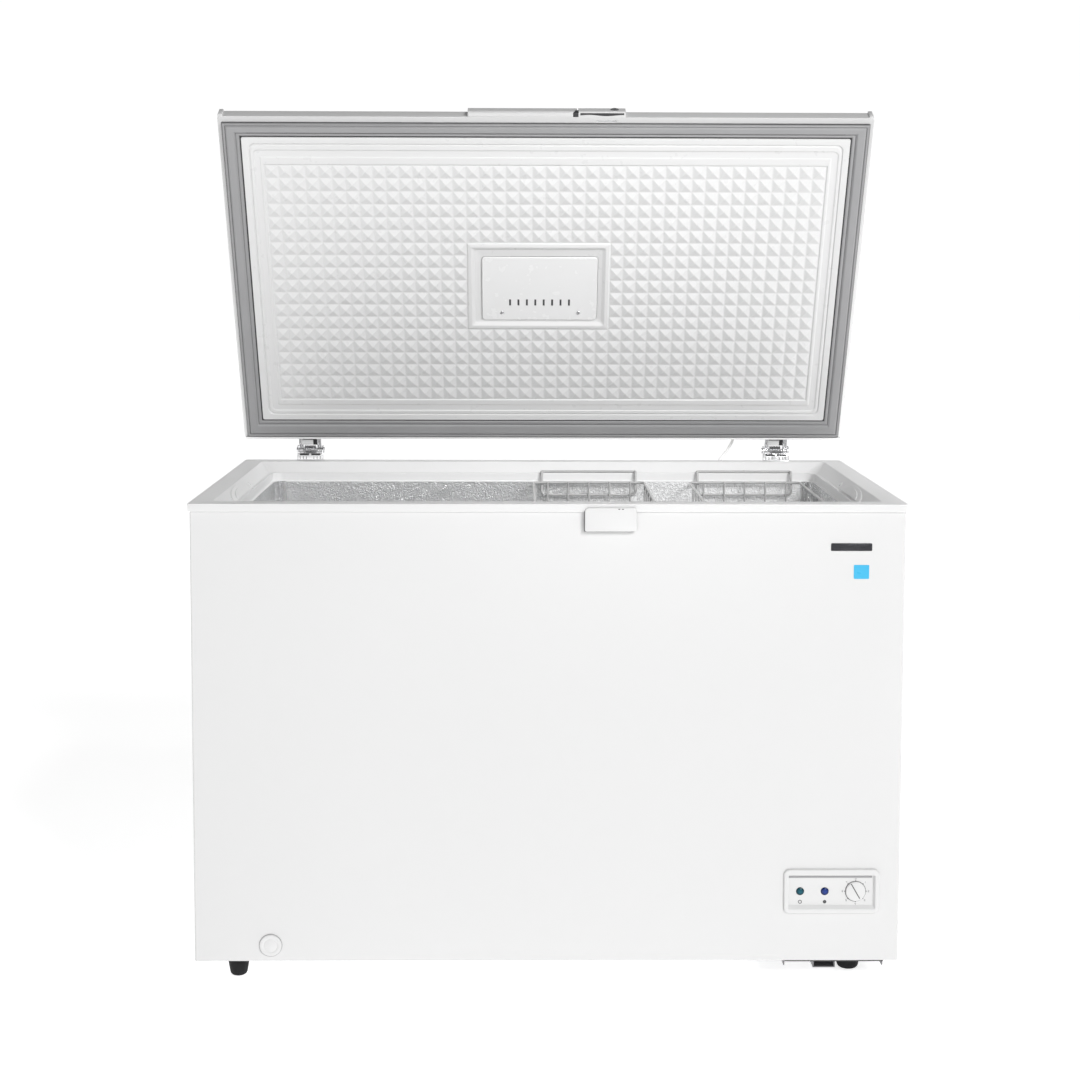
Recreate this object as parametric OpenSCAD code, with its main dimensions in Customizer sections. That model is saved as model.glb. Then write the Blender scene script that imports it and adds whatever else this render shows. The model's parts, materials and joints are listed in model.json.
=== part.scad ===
// Chest freezer with a counterbalanced lid, two hanging wire baskets, a key lock and a turn dial.
// X runs left to right, Y front to back and Z up from the floor. The origin is on the floor, under
// the middle of the whole freezer with its lid standing open.

/* [Cabinet] */
// Width of the painted case
case_w = 1111; // [1060:1:1160]
// Height of the floor face under the case
foot_h = 36; // [34:1:50]
// Height of the cabinet's mouth above the floor
mouth_h = 763; // [740:1:800]
// Depth of the cabinet over its top collar
cabinet_d = 630; // [610:1:650]
// Thickness of the foam in the walls
wall_foam = 57; // [50:1:60]
// Height of the compressor step's top inside the tub
step_h = 300; // [280:1:320]
// Width of the tub floor left of the compressor step
step_x = 250; // [200:1:270]

/* [Lid] */
// Width of the lid
lid_w = 1127; // [1122:1:1132]
// Length of the lid from its hinge edge to its front edge
lid_l = 646; // [640:1:650]
// Thickness of the lid above its rim
lid_t = 62; // [55:1:70]
// Gap that the gasket fills between the rim and the cabinet's mouth
gasket_gap = 10; // [9:1:12]
// Opening angle at which the lid stands
lid_open = 64; // [55:1:80]

/* [Hinges] */
// Distance of each hinge from the middle of the cabinet
hinge_x = 441; // [380:1:460]
// Height of the hinge axis above the mouth
pivot_up = 14; // [12:0.5:16]
// Distance of the hinge axis behind the cabinet
pivot_back = 34.4; // [32:0.2:38]
// Radius of the hinge pins
pin_r = 4; // [3.5:0.5:5]

/* [Baskets] */
// Width of a basket over its rim
basket_w = 209; // [180:1:209]
// Depth of a basket below its rim
basket_h = 200; // [140:1:240]
// Middle of the left basket
left_basket_x = 82.7; // [60:0.1:90]
// Middle of the right basket
right_basket_x = 370.3; // [365:0.1:372]

/* [Controls] */
// Middle of the control bezel
bezel_x = 447.8; // [440:0.1:455]
// Height of the control bezel's middle
bezel_z = 148; // [140:1:160]
// Radius of the thermostat dial
dial_r = 15.7; // [12:0.1:18]
// Distance of the lock's keyhole from the middle of the lid
lock_x = 117; // [112:1:120]

/* [Hidden] */
$fn = 48;
tiny = 0.01;
over = 1;                               // how far a cut runs past the face that it opens

// Where the origin lies behind the collar's front face
origin_y = 349;

// Case
sheet = 1;                              // painted steel sheet
lip = 3.5;                              // how far the collar stands out past the case
case_x = case_w / 2;
case_y0 = lip;
case_y1 = cabinet_d - lip;
collar_t = 3;
collar_x = case_x + lip;
lip_h = 12;

// Throat: the collar's flat top, its slope, its ledge and its skirt
top_flat = 35;
throat_x = collar_x - top_flat;
throat_y0 = top_flat;
throat_y1 = cabinet_d - top_flat;
slope_in = 17;
slope_in_y = 19;
slope_down = 18;
ledge_z = mouth_h - slope_down;
ledge_w = 6;
skirt_x = throat_x - slope_in - ledge_w;
skirt_y0 = throat_y0 + slope_in_y + ledge_w;
skirt_y1 = cabinet_d - skirt_y0;
skirt_z = mouth_h - 33;

// Tub
tub_x = case_x - wall_foam - 1.5;
tub_y0 = skirt_y0 + 3;
tub_y1 = cabinet_d - tub_y0;
tub_floor = foot_h + 59;

// Compressor compartment, at the right end under the step
room_x = step_x + 79;
room_z = step_h - 64;
comp_x = 445;
comp_y = 330;
comp_r = 68;
tray_z = foot_h - 3;
tray_x0 = 375;
tray_x1 = 533;

// Pipe coils
evap_r = 4;
evap_gap = 5.5;                         // from the tub's outside to the pipe's middle
evap_turns = 6;
evap_z0 = 340;
evap_pitch = 50;
cond_r = 2.5;
cond_x = case_x - sheet - 4.5;
cond_pitch = 85;
cond_low = 120;

// Drain
drain_x = -436;
drain_y = 110;
drain_z = 61.5;
drain_bore = 9;

// Lid, drawn closed
pivot_y = cabinet_d + pivot_back;
pivot_z = mouth_h + pivot_up;
lid_x = lid_w / 2;
lid_y1 = 635;
lid_y0 = lid_y1 - lid_l;
rim_z = mouth_h + gasket_gap;
edge_h = 27;                            // upright part of the lid's edge
crown_in = 25;                          // how far the top draws in over the edge
top_z = rim_z + lid_t;
seal_x = lid_x - 7.5;                   // outside of the gasket
seal_y0 = lid_y0 + 11.2;
seal_y1 = lid_y1 - 3.5;
panel_x = lid_x - 39;
panel_y0 = lid_y0 + 35.5;
panel_y1 = lid_y1 - 45.5;
panel_drop = 8;                         // how far the panel hangs below the rim
panel_z = rim_z - panel_drop;
panel_t = 2;

// Lamp, in the lid panel
lamp_x0 = -138;
lamp_x1 = 116;
lamp_y0 = 225;
lamp_y1 = 397;
lamp_floor = panel_z + 6;
lamp_roof = panel_z + 32;

// Handle and lock
handle_x0 = -135;
handle_x1 = 53;
lock_x0 = 55;
lock_x1 = 136;
grip_out = 10;
lock_z = rim_z + 10;
cyl_r = 7;
cam_len = 30;

// Hinges
leaf_w = 42;
bracket_w = 49.5;
ear_t = 2.5;
knuckle_w = 8;
knuckle_r = 7;
fit = 0.05;                             // radial clearance of a running fit

// Baskets
rim_wire = 2.5;
wire = 1.75;
rest_wire = 2.25;
basket_y0 = 75;
basket_y1 = cabinet_d - basket_y0;
basket_rim_z = mouth_h - 34;
hook_z = ledge_z + rest_wire + 0.35;
hook_y = skirt_y1 + 3;
hook_half = 86.5;

// Route of the lamp lead, from the lid's hinge edge down to the cabinet's back
lead_r = 3;
lead_route = [
    [361, 658.5, 808], [360, 664, 797], [357, 668, 789], [352, 670, 780], [346, 670, 771],
    [339, 668, 763], [333, 662, 756], [328, 653, 750], [326, 644, 746], [326, 630, 744], [326, 612, 744]
];

// Places in the cabinet are measured from the collar's front face; this sets them about the origin.
module from_front() {
    translate([0, -origin_y, 0]) children();
}

// Lid pieces are drawn closed, then stood open about the hinge axis.
module on_lid() {
    from_front() translate([0, pivot_y, pivot_z]) rotate([-lid_open, 0, 0])
        translate([0, -pivot_y, -pivot_z]) children();
}

// Block between two X, two Y and two Z planes
module block(x, y, z) {
    translate([x[0], y[0], z[0]]) cube([x[1] - x[0], y[1] - y[0], z[1] - z[0]]);
}

// Block centred on X = 0 that reaches half_x to each side
module centred(half_x, y, z) {
    block([-half_x, half_x], y, z);
}

// Solid between two rectangles, each [half_x, y0, y1, z]
module tapered(low, high) {
    polyhedron(
        points = [
            for (r = [low, high], c = [[-1, 1], [1, 1], [1, 2], [-1, 2]])
                [c[0] * r[0], r[c[1]], r[3]]
        ],
        faces = [[0, 1, 2, 3], [7, 6, 5, 4], [0, 4, 5, 1], [1, 5, 6, 2], [2, 6, 7, 3], [3, 7, 4, 0]]
    );
}

module along_x(r, x, y, z) {
    translate([x[0], y, z]) rotate([0, 90, 0]) cylinder(r = r, h = x[1] - x[0]);
}

module along_y(r, x, y, z) {
    translate([x, y[0], z]) rotate([-90, 0, 0]) cylinder(r = r, h = y[1] - y[0]);
}

module along_z(r, x, y, z) {
    translate([x, y, z[0]]) cylinder(r = r, h = z[1] - z[0]);
}

function unit(v) = v / norm(v);

// A path with each inner corner rounded over the distance r
function rounded(p, r, steps = 4) = concat(
    [p[0]],
    [
        for (i = [1:len(p) - 2], k = [0:steps])
            let (s = k / steps, a = p[i] + r * unit(p[i - 1] - p[i]), b = p[i] + r * unit(p[i + 1] - p[i]))
                pow(1 - s, 2) * a + 2 * s * (1 - s) * p[i] + s * s * b
    ],
    [p[len(p) - 1]]
);

function heading(p, i) = unit(p[min(i + 1, len(p) - 1)] - p[max(i - 1, 0)]);

function ring(p, i, r, sides, up) = let (
    t = heading(p, i),
    a = unit(cross(t, up)),
    b = cross(t, a)
) [for (k = [0:sides - 1]) p[i] + r * (cos(360 * k / sides) * a + sin(360 * k / sides) * b)];

// Round pipe or cable swept along a path; up is any direction that the path never takes
module pipe(p, r, sides, up) {
    n = len(p);
    polyhedron(
        points = [for (i = [0:n - 1]) each ring(p, i, r, sides, up)],
        faces = concat(
            [[for (k = [0:sides - 1]) sides - 1 - k], [for (k = [0:sides - 1]) (n - 1) * sides + k]],
            [
                for (i = [0:n - 2], k = [0:sides - 1])
                    let (a = i * sides + k, b = i * sides + (k + 1) % sides)
                        each [[a, b, b + sides], [a, b + sides, a + sides]]
            ]
        )
    );
}

// Case ------------------------------------------------------------------------

bezel_hole_x = [bezel_x - 70.5, bezel_x + 71.5];
bezel_hole_z = [bezel_z - 30.5, bezel_z + 28.5];
vent_y = [340, 550];
vent_z = [80, 190];
cover_screw_x = [room_x + 12, case_x - 12];
cover_screw_z = [52, room_z - 14];

module outer_wrap() color("white") from_front() {
    difference() {
        centred(case_x, [case_y0, case_y1 - sheet], [foot_h, mouth_h - collar_t]);
        centred(case_x - sheet, [case_y0 + sheet, case_y1], [foot_h - over, mouth_h]);
        block(bezel_hole_x, [0, 20], bezel_hole_z);
        along_y(11.2, drain_x, [0, 20], drain_z);
        block([case_x - 20, case_x + over], vent_y, vent_z);
    }
}

module back_panel() color("white") from_front() {
    difference() {
        centred(case_x, [case_y1 - sheet, case_y1], [foot_h, mouth_h - collar_t]);
        block([room_x + 20, case_x - 20], [600, 640], [foot_h + 4 + 20, room_z - 26]);
        along_y(5.2, lead_route[10][0], [600, 640], lead_route[10][2]);
        screw_holes();
    }
}

module base_pan() color("lightgrey") from_front() {
    y = [case_y0 + sheet, case_y1 - sheet];
    block([-case_x + sheet, room_x], y, [foot_h, foot_h + sheet]);
    block([room_x - sheet, room_x], y, [foot_h, room_z]);
    block([room_x - sheet, case_x - sheet], y, [room_z - sheet, room_z]);
}

// The tub's shape, grown outward by g
module tub_shape(g, top) {
    block([-tub_x - g, step_x + g], [tub_y0 - g, tub_y1 + g], [tub_floor - g, top]);
    block([step_x - tiny, tub_x + g], [tub_y0 - g, tub_y1 + g], [step_h - g, top]);
}

module inner_liner() color("silver") from_front() {
    difference() {
        tub_shape(sheet, skirt_z - 0.2);
        tub_shape(0, skirt_z + over);
        along_z(drain_bore, drain_x, drain_y, [tub_floor - 5, tub_floor + 5]);
    }
}

module foam_insulation() color("wheat") from_front() {
    foam_x = case_x - sheet;
    foam_y = [case_y0 + sheet, case_y1 - sheet];
    cond_cut = 8.5;
    cond_z = [cond_low - 15, cond_low + 6 * cond_pitch + 15];
    difference() {
        centred(foam_x, foam_y, [foot_h + sheet, mouth_h - 6]);
        tub_shape(sheet, mouth_h);
        // room for the collar's throat
        centred(throat_x + 6, [throat_y0 - 6, throat_y1 + 6], [skirt_z - 2, mouth_h]);
        // compressor compartment
        block([room_x - sheet, case_x], [0, cabinet_d], [foot_h, room_z]);
        // pipe round the tub
        centred(
            tub_x + sheet + 10, [tub_y0 - sheet - 10, tub_y1 + sheet + 10],
            [evap_z0 - 12, evap_z0 + evap_turns * evap_pitch + 12]
        );
        // pipe behind the case
        block([-case_x, -foam_x + cond_cut], [26, cabinet_d], cond_z);
        block([foam_x - cond_cut, case_x], [26, cabinet_d], [cond_low + 2 * cond_pitch - 15, cond_z[1]]);
        centred(foam_x, [case_y1 - 13, cabinet_d], [cond_z[1] - 30, cond_z[1]]);
        drain_shape(12.3, 11.3);
        along_y(3.3, lead_route[10][0], [600, 640], lead_route[10][2]);
        screw_holes();
    }
}

module top_collar() color("whitesmoke") from_front() {
    // foot of the throat's slope
    low_x = throat_x - slope_in;
    low_y0 = throat_y0 + slope_in_y;
    low_y1 = throat_y1 - slope_in_y;
    difference() {
        union() {
            difference() {
                centred(collar_x, [0, cabinet_d], [mouth_h - lip_h, mouth_h]);
                centred(case_x, [case_y0, case_y1], [mouth_h - lip_h - over, mouth_h - collar_t]);
            }
            tapered(
                [low_x + lip, low_y0 - lip, low_y1 + lip, ledge_z - collar_t],
                [throat_x + lip, throat_y0 - lip, throat_y1 + lip, mouth_h - tiny]
            );
            centred(skirt_x + 3, [skirt_y0 - 3, skirt_y1 + 3], [skirt_z, ledge_z]);
        }
        tapered([low_x, low_y0, low_y1, ledge_z], [throat_x, throat_y0, throat_y1, mouth_h]);
        centred(throat_x, [throat_y0, throat_y1], [mouth_h - tiny, mouth_h + over]);
        centred(skirt_x, [skirt_y0, skirt_y1], [skirt_z + 3, ledge_z + over]);
        centred(tub_x, [tub_y0, tub_y1], [skirt_z - over, skirt_z + 4]);
    }
}

// Cooling system ---------------------------------------------------------------

module evaporator_coil() color("silver") from_front() {
    x = tub_x + sheet + evap_gap;
    y0 = tub_y0 - sheet - evap_gap;
    y1 = tub_y1 + sheet + evap_gap;
    turns = [
        for (k = [0:evap_turns - 1])
            let (z = evap_z0 + k * evap_pitch)
                each [[-x, y0, z], [x, y0, z], [x, y1, z], [-x, y1, z]]
    ];
    pipe(rounded(turns, 6, 3), evap_r, 8, [0, 0, 1]);
}

function level_run(x, from, to, z) = [[x, from, z], [x, to, z]];

module condenser_coil() color("dimgrey") from_front() {
    y0 = 40;
    y1 = 590;
    y_back = case_y1 - sheet - 6;
    z_top = cond_low + 6 * cond_pitch;
    left = [
        for (j = [0:6])
            let (z = cond_low + j * cond_pitch, end = j == 6 ? y_back : y1)
                each (j % 2 == 0 ? level_run(-cond_x, y0, end, z) : level_run(-cond_x, y1, y0, z))
    ];
    right = [
        for (j = [0:4])
            let (z = z_top - j * cond_pitch, start = j == 0 ? y_back : y1)
                each (j % 2 == 0 ? level_run(cond_x, start, y0, z) : level_run(cond_x, y0, y1, z))
    ];
    pipe(rounded(concat(left, right), 5, 2), cond_r, 6, [1, 1, 1]);
}

module compressor() color("black") from_front() {
    foot_z = 52;
    difference() {
        union() {
            translate([comp_x, comp_y, 0]) rotate_extrude()
                polygon([
                    [0, 56], [comp_r - 18, 56], [comp_r - 4, 70], [comp_r - 4, 120], [comp_r, 122],
                    [comp_r, 138], [comp_r - 4, 140], [comp_r - 4, 185], [comp_r - 20, 203], [0, 208]
                ]);
            block([comp_x - 62, comp_x + 62], [comp_y - 80, comp_y + 80], [foot_z, foot_z + 5]);
        }
        for (sx = [-1, 1], sy = [-1, 1])
            along_z(5, comp_x + sx * 52, comp_y + sy * 70, [foot_z - over, foot_z + 6]);
    }
}

module compressor_grommets() color("black") from_front() {
    for (sx = [-1, 1], sy = [-1, 1]) {
        along_z(10, comp_x + sx * 52, comp_y + sy * 70, [tray_z + 2, 52]);
        along_z(4.9, comp_x + sx * 52, comp_y + sy * 70, [51.9, 62]);
    }
}

module compressor_tray() color("dimgrey") from_front() {
    block([tray_x0, tray_x1], [14, 612], [tray_z, tray_z + 2]);
    // turned-down edges
    block([tray_x0, tray_x0 + 2], [14, 612], [tray_z - 9, tray_z + tiny]);
    block([tray_x1 - 2, tray_x1], [14, 612], [tray_z - 9, tray_z + tiny]);
    // box runner under the compressor
    difference() {
        block([429, 465], [58, 560], [3, tray_z + tiny]);
        block([431, 463], [57, 561], [5, tray_z - 2]);
    }
}

module start_relay() color("dimgrey") from_front() {
    block([comp_x + comp_r + 0.3, comp_x + comp_r + 24], [comp_y - 22, comp_y + 22], [95, 145]);
}

drier_x = 352;
drier_y = 300;

module filter_drier() color("peru") from_front() {
    translate([drier_x, drier_y, 0]) rotate_extrude()
        polygon([[0, 60], [4, 60], [10, 70], [10, 140], [4, 150], [0, 150]]);
}

// Suction, discharge and drier pipes, each up to the roof of the compartment
module refrigerant_lines() color("peru") from_front() {
    roof = room_z - sheet;
    lines = [
        [[comp_x, comp_y - comp_r - 0.3, 130], [comp_x, 230, 130], [comp_x, 230, roof]],
        [[comp_x, comp_y + comp_r + 0.3, 130], [comp_x, 430, 130], [comp_x, 430, roof]],
        [[drier_x, drier_y, 150], [drier_x, drier_y, 180], [drier_x, 270, 205], [drier_x, 270, roof]]
    ];
    for (p = lines) pipe(rounded(p, 12, 4), 3, 8, [1, 0, 0]);
}

// Controls ---------------------------------------------------------------------

lamp_pair_x = [bezel_x - 49, bezel_x - 10];
control_z = bezel_z - 0.7;
lens_r = 4.3;
dial_x = bezel_x + 38.6;
shaft_r = 3.5;
recess_floor = 5;

module thermostat_body() color("gainsboro") from_front() {
    difference() {
        block([dial_x - 18, dial_x + 18], [8, 38], [control_z - 18, control_z + 18]);
        along_y(shaft_r + fit, dial_x, [8 - over, 22], control_z);
    }
}

module thermostat_bulb() color("peru") from_front() {
    route = [[480, 38.3, 150], [480, 56, 150], [480, 80, 180], [480, 80, room_z - sheet]];
    pipe(rounded(route, 10, 4), 1.2, 6, [1, 0, 0]);
}

module control_bezel() color("white") from_front() {
    difference() {
        union() {
            block([bezel_x - 75.3, bezel_x + 75.3], [0, lip], [bezel_z - 36, bezel_z + 36]);
            block(
                [bezel_hole_x[0] + 0.2, bezel_hole_x[1] - 0.2],
                [lip - tiny, 8],
                [bezel_hole_z[0] + 0.2, bezel_hole_z[1] - 0.2]
            );
        }
        block([bezel_x - 68, bezel_x + 69], [-over, recess_floor], [bezel_z - 28, bezel_z + 26]);
        for (x = lamp_pair_x) along_y(lens_r + 0.1, x, [0, 20], control_z);
        along_y(shaft_r + 0.4, dial_x, [0, 20], control_z);
    }
}

module lens(x) {
    translate([x, 0, control_z]) rotate([-90, 0, 0]) rotate_extrude()
        polygon([[0, 3.2], [2.6, 3.6], [lens_r, 4.8], [lens_r, 8], [6, 8], [6, 14], [0, 14]]);
}

module power_lamp() color("teal") from_front() lens(lamp_pair_x[0]);

module run_lamp() color("navy") from_front() lens(lamp_pair_x[1]);

module thermostat_dial() color("white") from_front() {
    difference() {
        along_y(dial_r, dial_x, [1.2, recess_floor - 0.3], control_z);
        translate([dial_x, 0, control_z]) rotate([0, -30, 0])
            block([-1.3, 1.3], [0, 3.2], [-dial_r + 3, dial_r - 1]);
    }
    along_y(shaft_r, dial_x, [recess_floor - 0.31, 20], control_z);
}

// Drain ------------------------------------------------------------------------

// Elbow from the tub floor to the front, with the given radii
module drain_shape(upright_r, level_r) {
    along_z(upright_r, drain_x, drain_y, [drain_z - 13, tub_floor - sheet]);
    along_y(level_r, drain_x, [case_y0 + sheet, drain_y], drain_z);
}

module drain_tube() color("whitesmoke") from_front() {
    difference() {
        drain_shape(12, 11);
        along_z(drain_bore, drain_x, drain_y, [drain_z - 10, tub_floor + over]);
        along_y(8, drain_x, [0, drain_y], drain_z);
    }
}

module drain_cap() color("white") from_front() {
    along_y(17.5, drain_x, [0.4, case_y0 - 0.1], drain_z);
    along_y(7.7, drain_x, [case_y0 - 0.2, 30], drain_z);
}

module drain_plug() color("dimgrey") from_front() {
    along_z(8.7, drain_x, drain_y, [tub_floor - 16, tub_floor + 0.5]);
    along_z(15, drain_x, drain_y, [tub_floor + 0.4, tub_floor + 4]);
    block([drain_x - 8, drain_x + 8], [drain_y - 1.5, drain_y + 1.5], [tub_floor + 3.9, tub_floor + 14]);
}

// Feet, vents, glands and front trim -------------------------------------------

module foot(x, y, h) {
    translate([x, y, 0]) cylinder(r1 = 14.5, r2 = 17.5, h = h - 6);
    translate([x, y, h - 6 - tiny]) cylinder(r = 17.5, h = 6 + tiny);
}

module feet() color("black") from_front() {
    for (y = [42, 585]) {
        foot(-492, y, foot_h);
    }
    foot(487, 70, tray_z);
    foot(487, 585, tray_z);
}

module side_vent() color("gainsboro") from_front() {
    difference() {
        union() {
            block([case_x, case_x + 2], [vent_y[0] - 10, vent_y[1] + 10], [vent_z[0] - 10, vent_z[1] + 10]);
            block([case_x - sheet, case_x + tiny], vent_y, vent_z);
        }
        for (k = [0:8]) {
            z = vent_z[0] + 6 + k * 12;
            block([case_x - 5, case_x + 5], [vent_y[0] + 12, vent_y[1] - 12], [z, z + 5]);
        }
    }
}

gland_x = 520;
gland_z = 96;
gland_bore = 4;

module compressor_cover() color("gainsboro") from_front() {
    difference() {
        block([room_x + 4, case_x - 4], [case_y1, case_y1 + 2], [foot_h + 8, room_z - 6]);
        for (k = [0:7])
            block([room_x + 40, room_x + 130], [600, 640], [80 + k * 16, 86 + k * 16]);
        along_y(9, gland_x, [600, 640], gland_z);
        screw_holes();
    }
}

module cord_gland() color("black") from_front() {
    difference() {
        union() {
            along_y(8.9, gland_x, [case_y1 - 5, case_y1 + 2.1], gland_z);
            along_y(12, gland_x, [case_y1 + 2, case_y1 + 6], gland_z);
        }
        along_y(gland_bore, gland_x, [600, 650], gland_z);
    }
}

module lead_grommet() color("white") from_front() {
    difference() {
        union() {
            along_y(5, lead_route[10][0], [case_y1 - sheet, case_y1 + tiny], lead_route[10][2]);
            along_y(7, lead_route[10][0], [case_y1, case_y1 + 3], lead_route[10][2]);
        }
        along_y(3.3, lead_route[10][0], [600, 650], lead_route[10][2]);
    }
}

strike_top = mouth_h - 5;

module lock_strike() color("white") from_front() {
    difference() {
        union() {
            block([lock_x0 + 1, lock_x1], [-6, 0], [strike_top - 37, strike_top]);
            block([lock_x0 + 1, lock_x1], [-tiny, case_y0], [strike_top - 37, mouth_h - lip_h]);
        }
        // pocket for the lock's cam
        block([lock_x - 20, lock_x + 6], [-5, -1.5], [strike_top - 9, strike_top + over]);
        // chamfered corner
        translate([lock_x0 + 1, -10, strike_top]) rotate([0, 45, 0]) cube([7, 20, 7], center = true);
    }
}

module nameplate() color("dimgrey") from_front() {
    block([439, 503], [case_y0 - 1, case_y0], [mouth_h - 73, mouth_h - 61]);
}

module info_label() color("lightskyblue") from_front() {
    block([475, 499], [case_y0 - 0.4, case_y0], [mouth_h - 117, mouth_h - 95]);
}

// Screws: each is a head on a shank, driven forward into the back
bracket_screw_z = [mouth_h - 62, mouth_h - 30];

module screw_holes() {
    for (s = [-1, 1], z = bracket_screw_z, dx = [-14, 14])
        along_y(2.1, s * hinge_x + dx, [600, 640], z);
    for (x = cover_screw_x, z = cover_screw_z)
        along_y(2.1, x, [600, 640], z);
}

module back_screw(x, y, z, length) {
    along_y(2, x, [y - length, y + tiny], z);
    along_y(4, x, [y, y + 2], z);
}

module cabinet_screws() color("silver") from_front() {
    for (s = [-1, 1], z = bracket_screw_z, dx = [-14, 14])
        back_screw(s * hinge_x + dx, case_y1 + ear_t, z, 14);
    for (x = cover_screw_x, z = cover_screw_z)
        back_screw(x, case_y1 + 2, z, 4);
}

// Hinges -----------------------------------------------------------------------

module hinge_bracket(side) {
    x0 = side * hinge_x;
    half = bracket_w / 2;
    difference() {
        union() {
            block([x0 - half, x0 + half], [case_y1, case_y1 + ear_t], [mouth_h - 75, mouth_h - lip_h - 1]);
            for (x = [x0 - half, x0 + half - ear_t]) {
                block([x, x + ear_t], [case_y1, pivot_y + 9], [mouth_h - 50, mouth_h - lip_h - 1]);
                block([x, x + ear_t], [pivot_y - 12, pivot_y + 9], [mouth_h - lip_h - 2, pivot_z]);
                along_x(10, [x, x + ear_t], pivot_y - 1, pivot_z);
            }
        }
        along_x(pin_r + 0.02, [x0 - 30, x0 + 30], pivot_y, pivot_z);
        for (z = bracket_screw_z, dx = [-14, 14]) along_y(2.1, x0 + dx, [600, 640], z);
    }
}

module hinge_pin(side) {
    x0 = side * hinge_x;
    half = bracket_w / 2;
    along_x(pin_r, [x0 - half - 1, x0 + half + 1], pivot_y, pivot_z);
    along_x(6, [x0 + half, x0 + half + 2], pivot_y, pivot_z);
    along_x(6, [x0 - half - 2, x0 - half], pivot_y, pivot_z);
}

module hinge_leaf(side) {
    x0 = side * hinge_x;
    half = leaf_w / 2;
    difference() {
        union() {
            block([x0 - half, x0 + half], [lid_y1, lid_y1 + 2], [rim_z + 1, rim_z + 42]);
            for (x = [x0 - half, x0 + half - knuckle_w]) {
                block([x, x + knuckle_w], [lid_y1, pivot_y], [pivot_z - 1.5, pivot_z + 1.5]);
                along_x(knuckle_r, [x, x + knuckle_w], pivot_y, pivot_z);
            }
        }
        along_x(pin_r + fit, [x0 - 30, x0 + 30], pivot_y, pivot_z);
        for (dx = [-12, 12]) along_y(2.1, x0 + dx, [600, 640], rim_z + 30);
    }
}

// Torsion spring wound round the pin between the leaf's two knuckles
module hinge_spring(side) {
    x0 = side * hinge_x;
    coil_r = 8.2;
    wire_r = 1.3;
    turns = 7;
    run = leaf_w - 2 * knuckle_w - 2 * wire_r - 2;
    steps = 10;
    n = turns * steps;
    route = [
        for (i = [0:n])
            let (a = 360 * i / steps)
                [x0 - run / 2 + run * i / n, pivot_y + coil_r * cos(a), pivot_z + coil_r * sin(a)]
    ];
    pipe(route, wire_r, 6, [1, 0, 0]);
}

module hinge_bracket_left() color("silver") from_front() hinge_bracket(-1);

module hinge_bracket_right() color("silver") from_front() hinge_bracket(1);

module hinge_pin_left() color("silver") from_front() hinge_pin(-1);

module hinge_pin_right() color("silver") from_front() hinge_pin(1);

module hinge_spring_left() color("dimgrey") from_front() hinge_spring(-1);

module hinge_spring_right() color("dimgrey") from_front() hinge_spring(1);

module hinge_leaf_left() color("silver") on_lid() hinge_leaf(-1);

module hinge_leaf_right() color("silver") on_lid() hinge_leaf(1);

module leaf_screws() color("silver") on_lid() {
    for (s = [-1, 1], dx = [-12, 12]) back_screw(s * hinge_x + dx, lid_y1 + 2, rim_z + 30, 12);
}

// Baskets ----------------------------------------------------------------------

// Straight wire between two points, as a slender prism with eight sides. The prism is turned about
// its own axis by an amount that depends on its heading, so that crossing wires never share a corner line.
module rod(a, b, r) {
    d = b - a;
    u = unit(d);
    turn = 7 + 13 * abs(u[1]) + 23 * abs(u[2]);
    translate(a) rotate([0, acos(u[2]), atan2(d[1], d[0])]) rotate([0, 0, turn])
        cylinder(r = r, h = norm(d), $fn = 8);
}

module basket(xm) {
    half = basket_w / 2 - rim_wire;
    y0 = basket_y0;
    y1 = basket_y1;
    z1 = basket_rim_z;
    z0 = z1 - basket_h;
    ribs = 8;
    rib_pitch = (y1 - y0) / (ribs + 1);
    // rim and the belt half way down
    for (level = [[z1, rim_wire], [z1 - basket_h / 2, wire]]) {
        for (s = [-1, 1]) rod([xm + s * half, y0 - 2, level[0]], [xm + s * half, y1 + 2, level[0]], level[1]);
        for (y = [y0, y1]) rod([xm - half - 2, y, level[0]], [xm + half + 2, y, level[0]], level[1]);
    }
    // long wires, down each end and along the bottom
    for (dx = [-76, -38, 0, 38, 76]) {
        for (y = [y0 + 2, y1 - 2]) rod([xm + dx, y, z0 - 1], [xm + dx, y, z1], wire);
        rod([xm + dx, y0 + 1, z0], [xm + dx, y1 - 1, z0], wire);
    }
    // ribs, down each side and across the bottom
    for (k = [1:ribs]) {
        y = y0 + k * rib_pitch;
        for (s = [-1, 1]) rod([xm + s * (half - 2), y, z0 + 1], [xm + s * (half - 2), y, z1], wire);
        rod([xm - half + 1, y, z0 + 2], [xm + half - 1, y, z0 + 2], wire);
    }
    // hangers that rest on the collar's ledge
    for (out = [-1, 1]) {
        hy = out > 0 ? hook_y : cabinet_d - hook_y;
        foot_y = (out > 0 ? y1 : y0) + out * 1.2;
        foot_z = z1 - 23;
        rod([xm - hook_half - 2, hy, hook_z], [xm + hook_half + 2, hy, hook_z], rest_wire);
        for (s = [-1, 1]) {
            x = xm + s * hook_half;
            rod([x, hy + out, hook_z], [x, hy - out * 9, hook_z], rest_wire);
            rod([x, hy - out * 8, hook_z + 1], [x, foot_y, foot_z], rest_wire);
        }
        rod([xm - hook_half - 2, foot_y, foot_z], [xm + hook_half + 2, foot_y, foot_z], rest_wire);
    }
}

module basket_left() color("white") from_front() basket(left_basket_x);

module basket_right() color("white") from_front() basket(right_basket_x);

module lamp_lead() color("white") from_front() pipe(lead_route, lead_r, 8, [1, 0, 0]);

// Lid --------------------------------------------------------------------------

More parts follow.
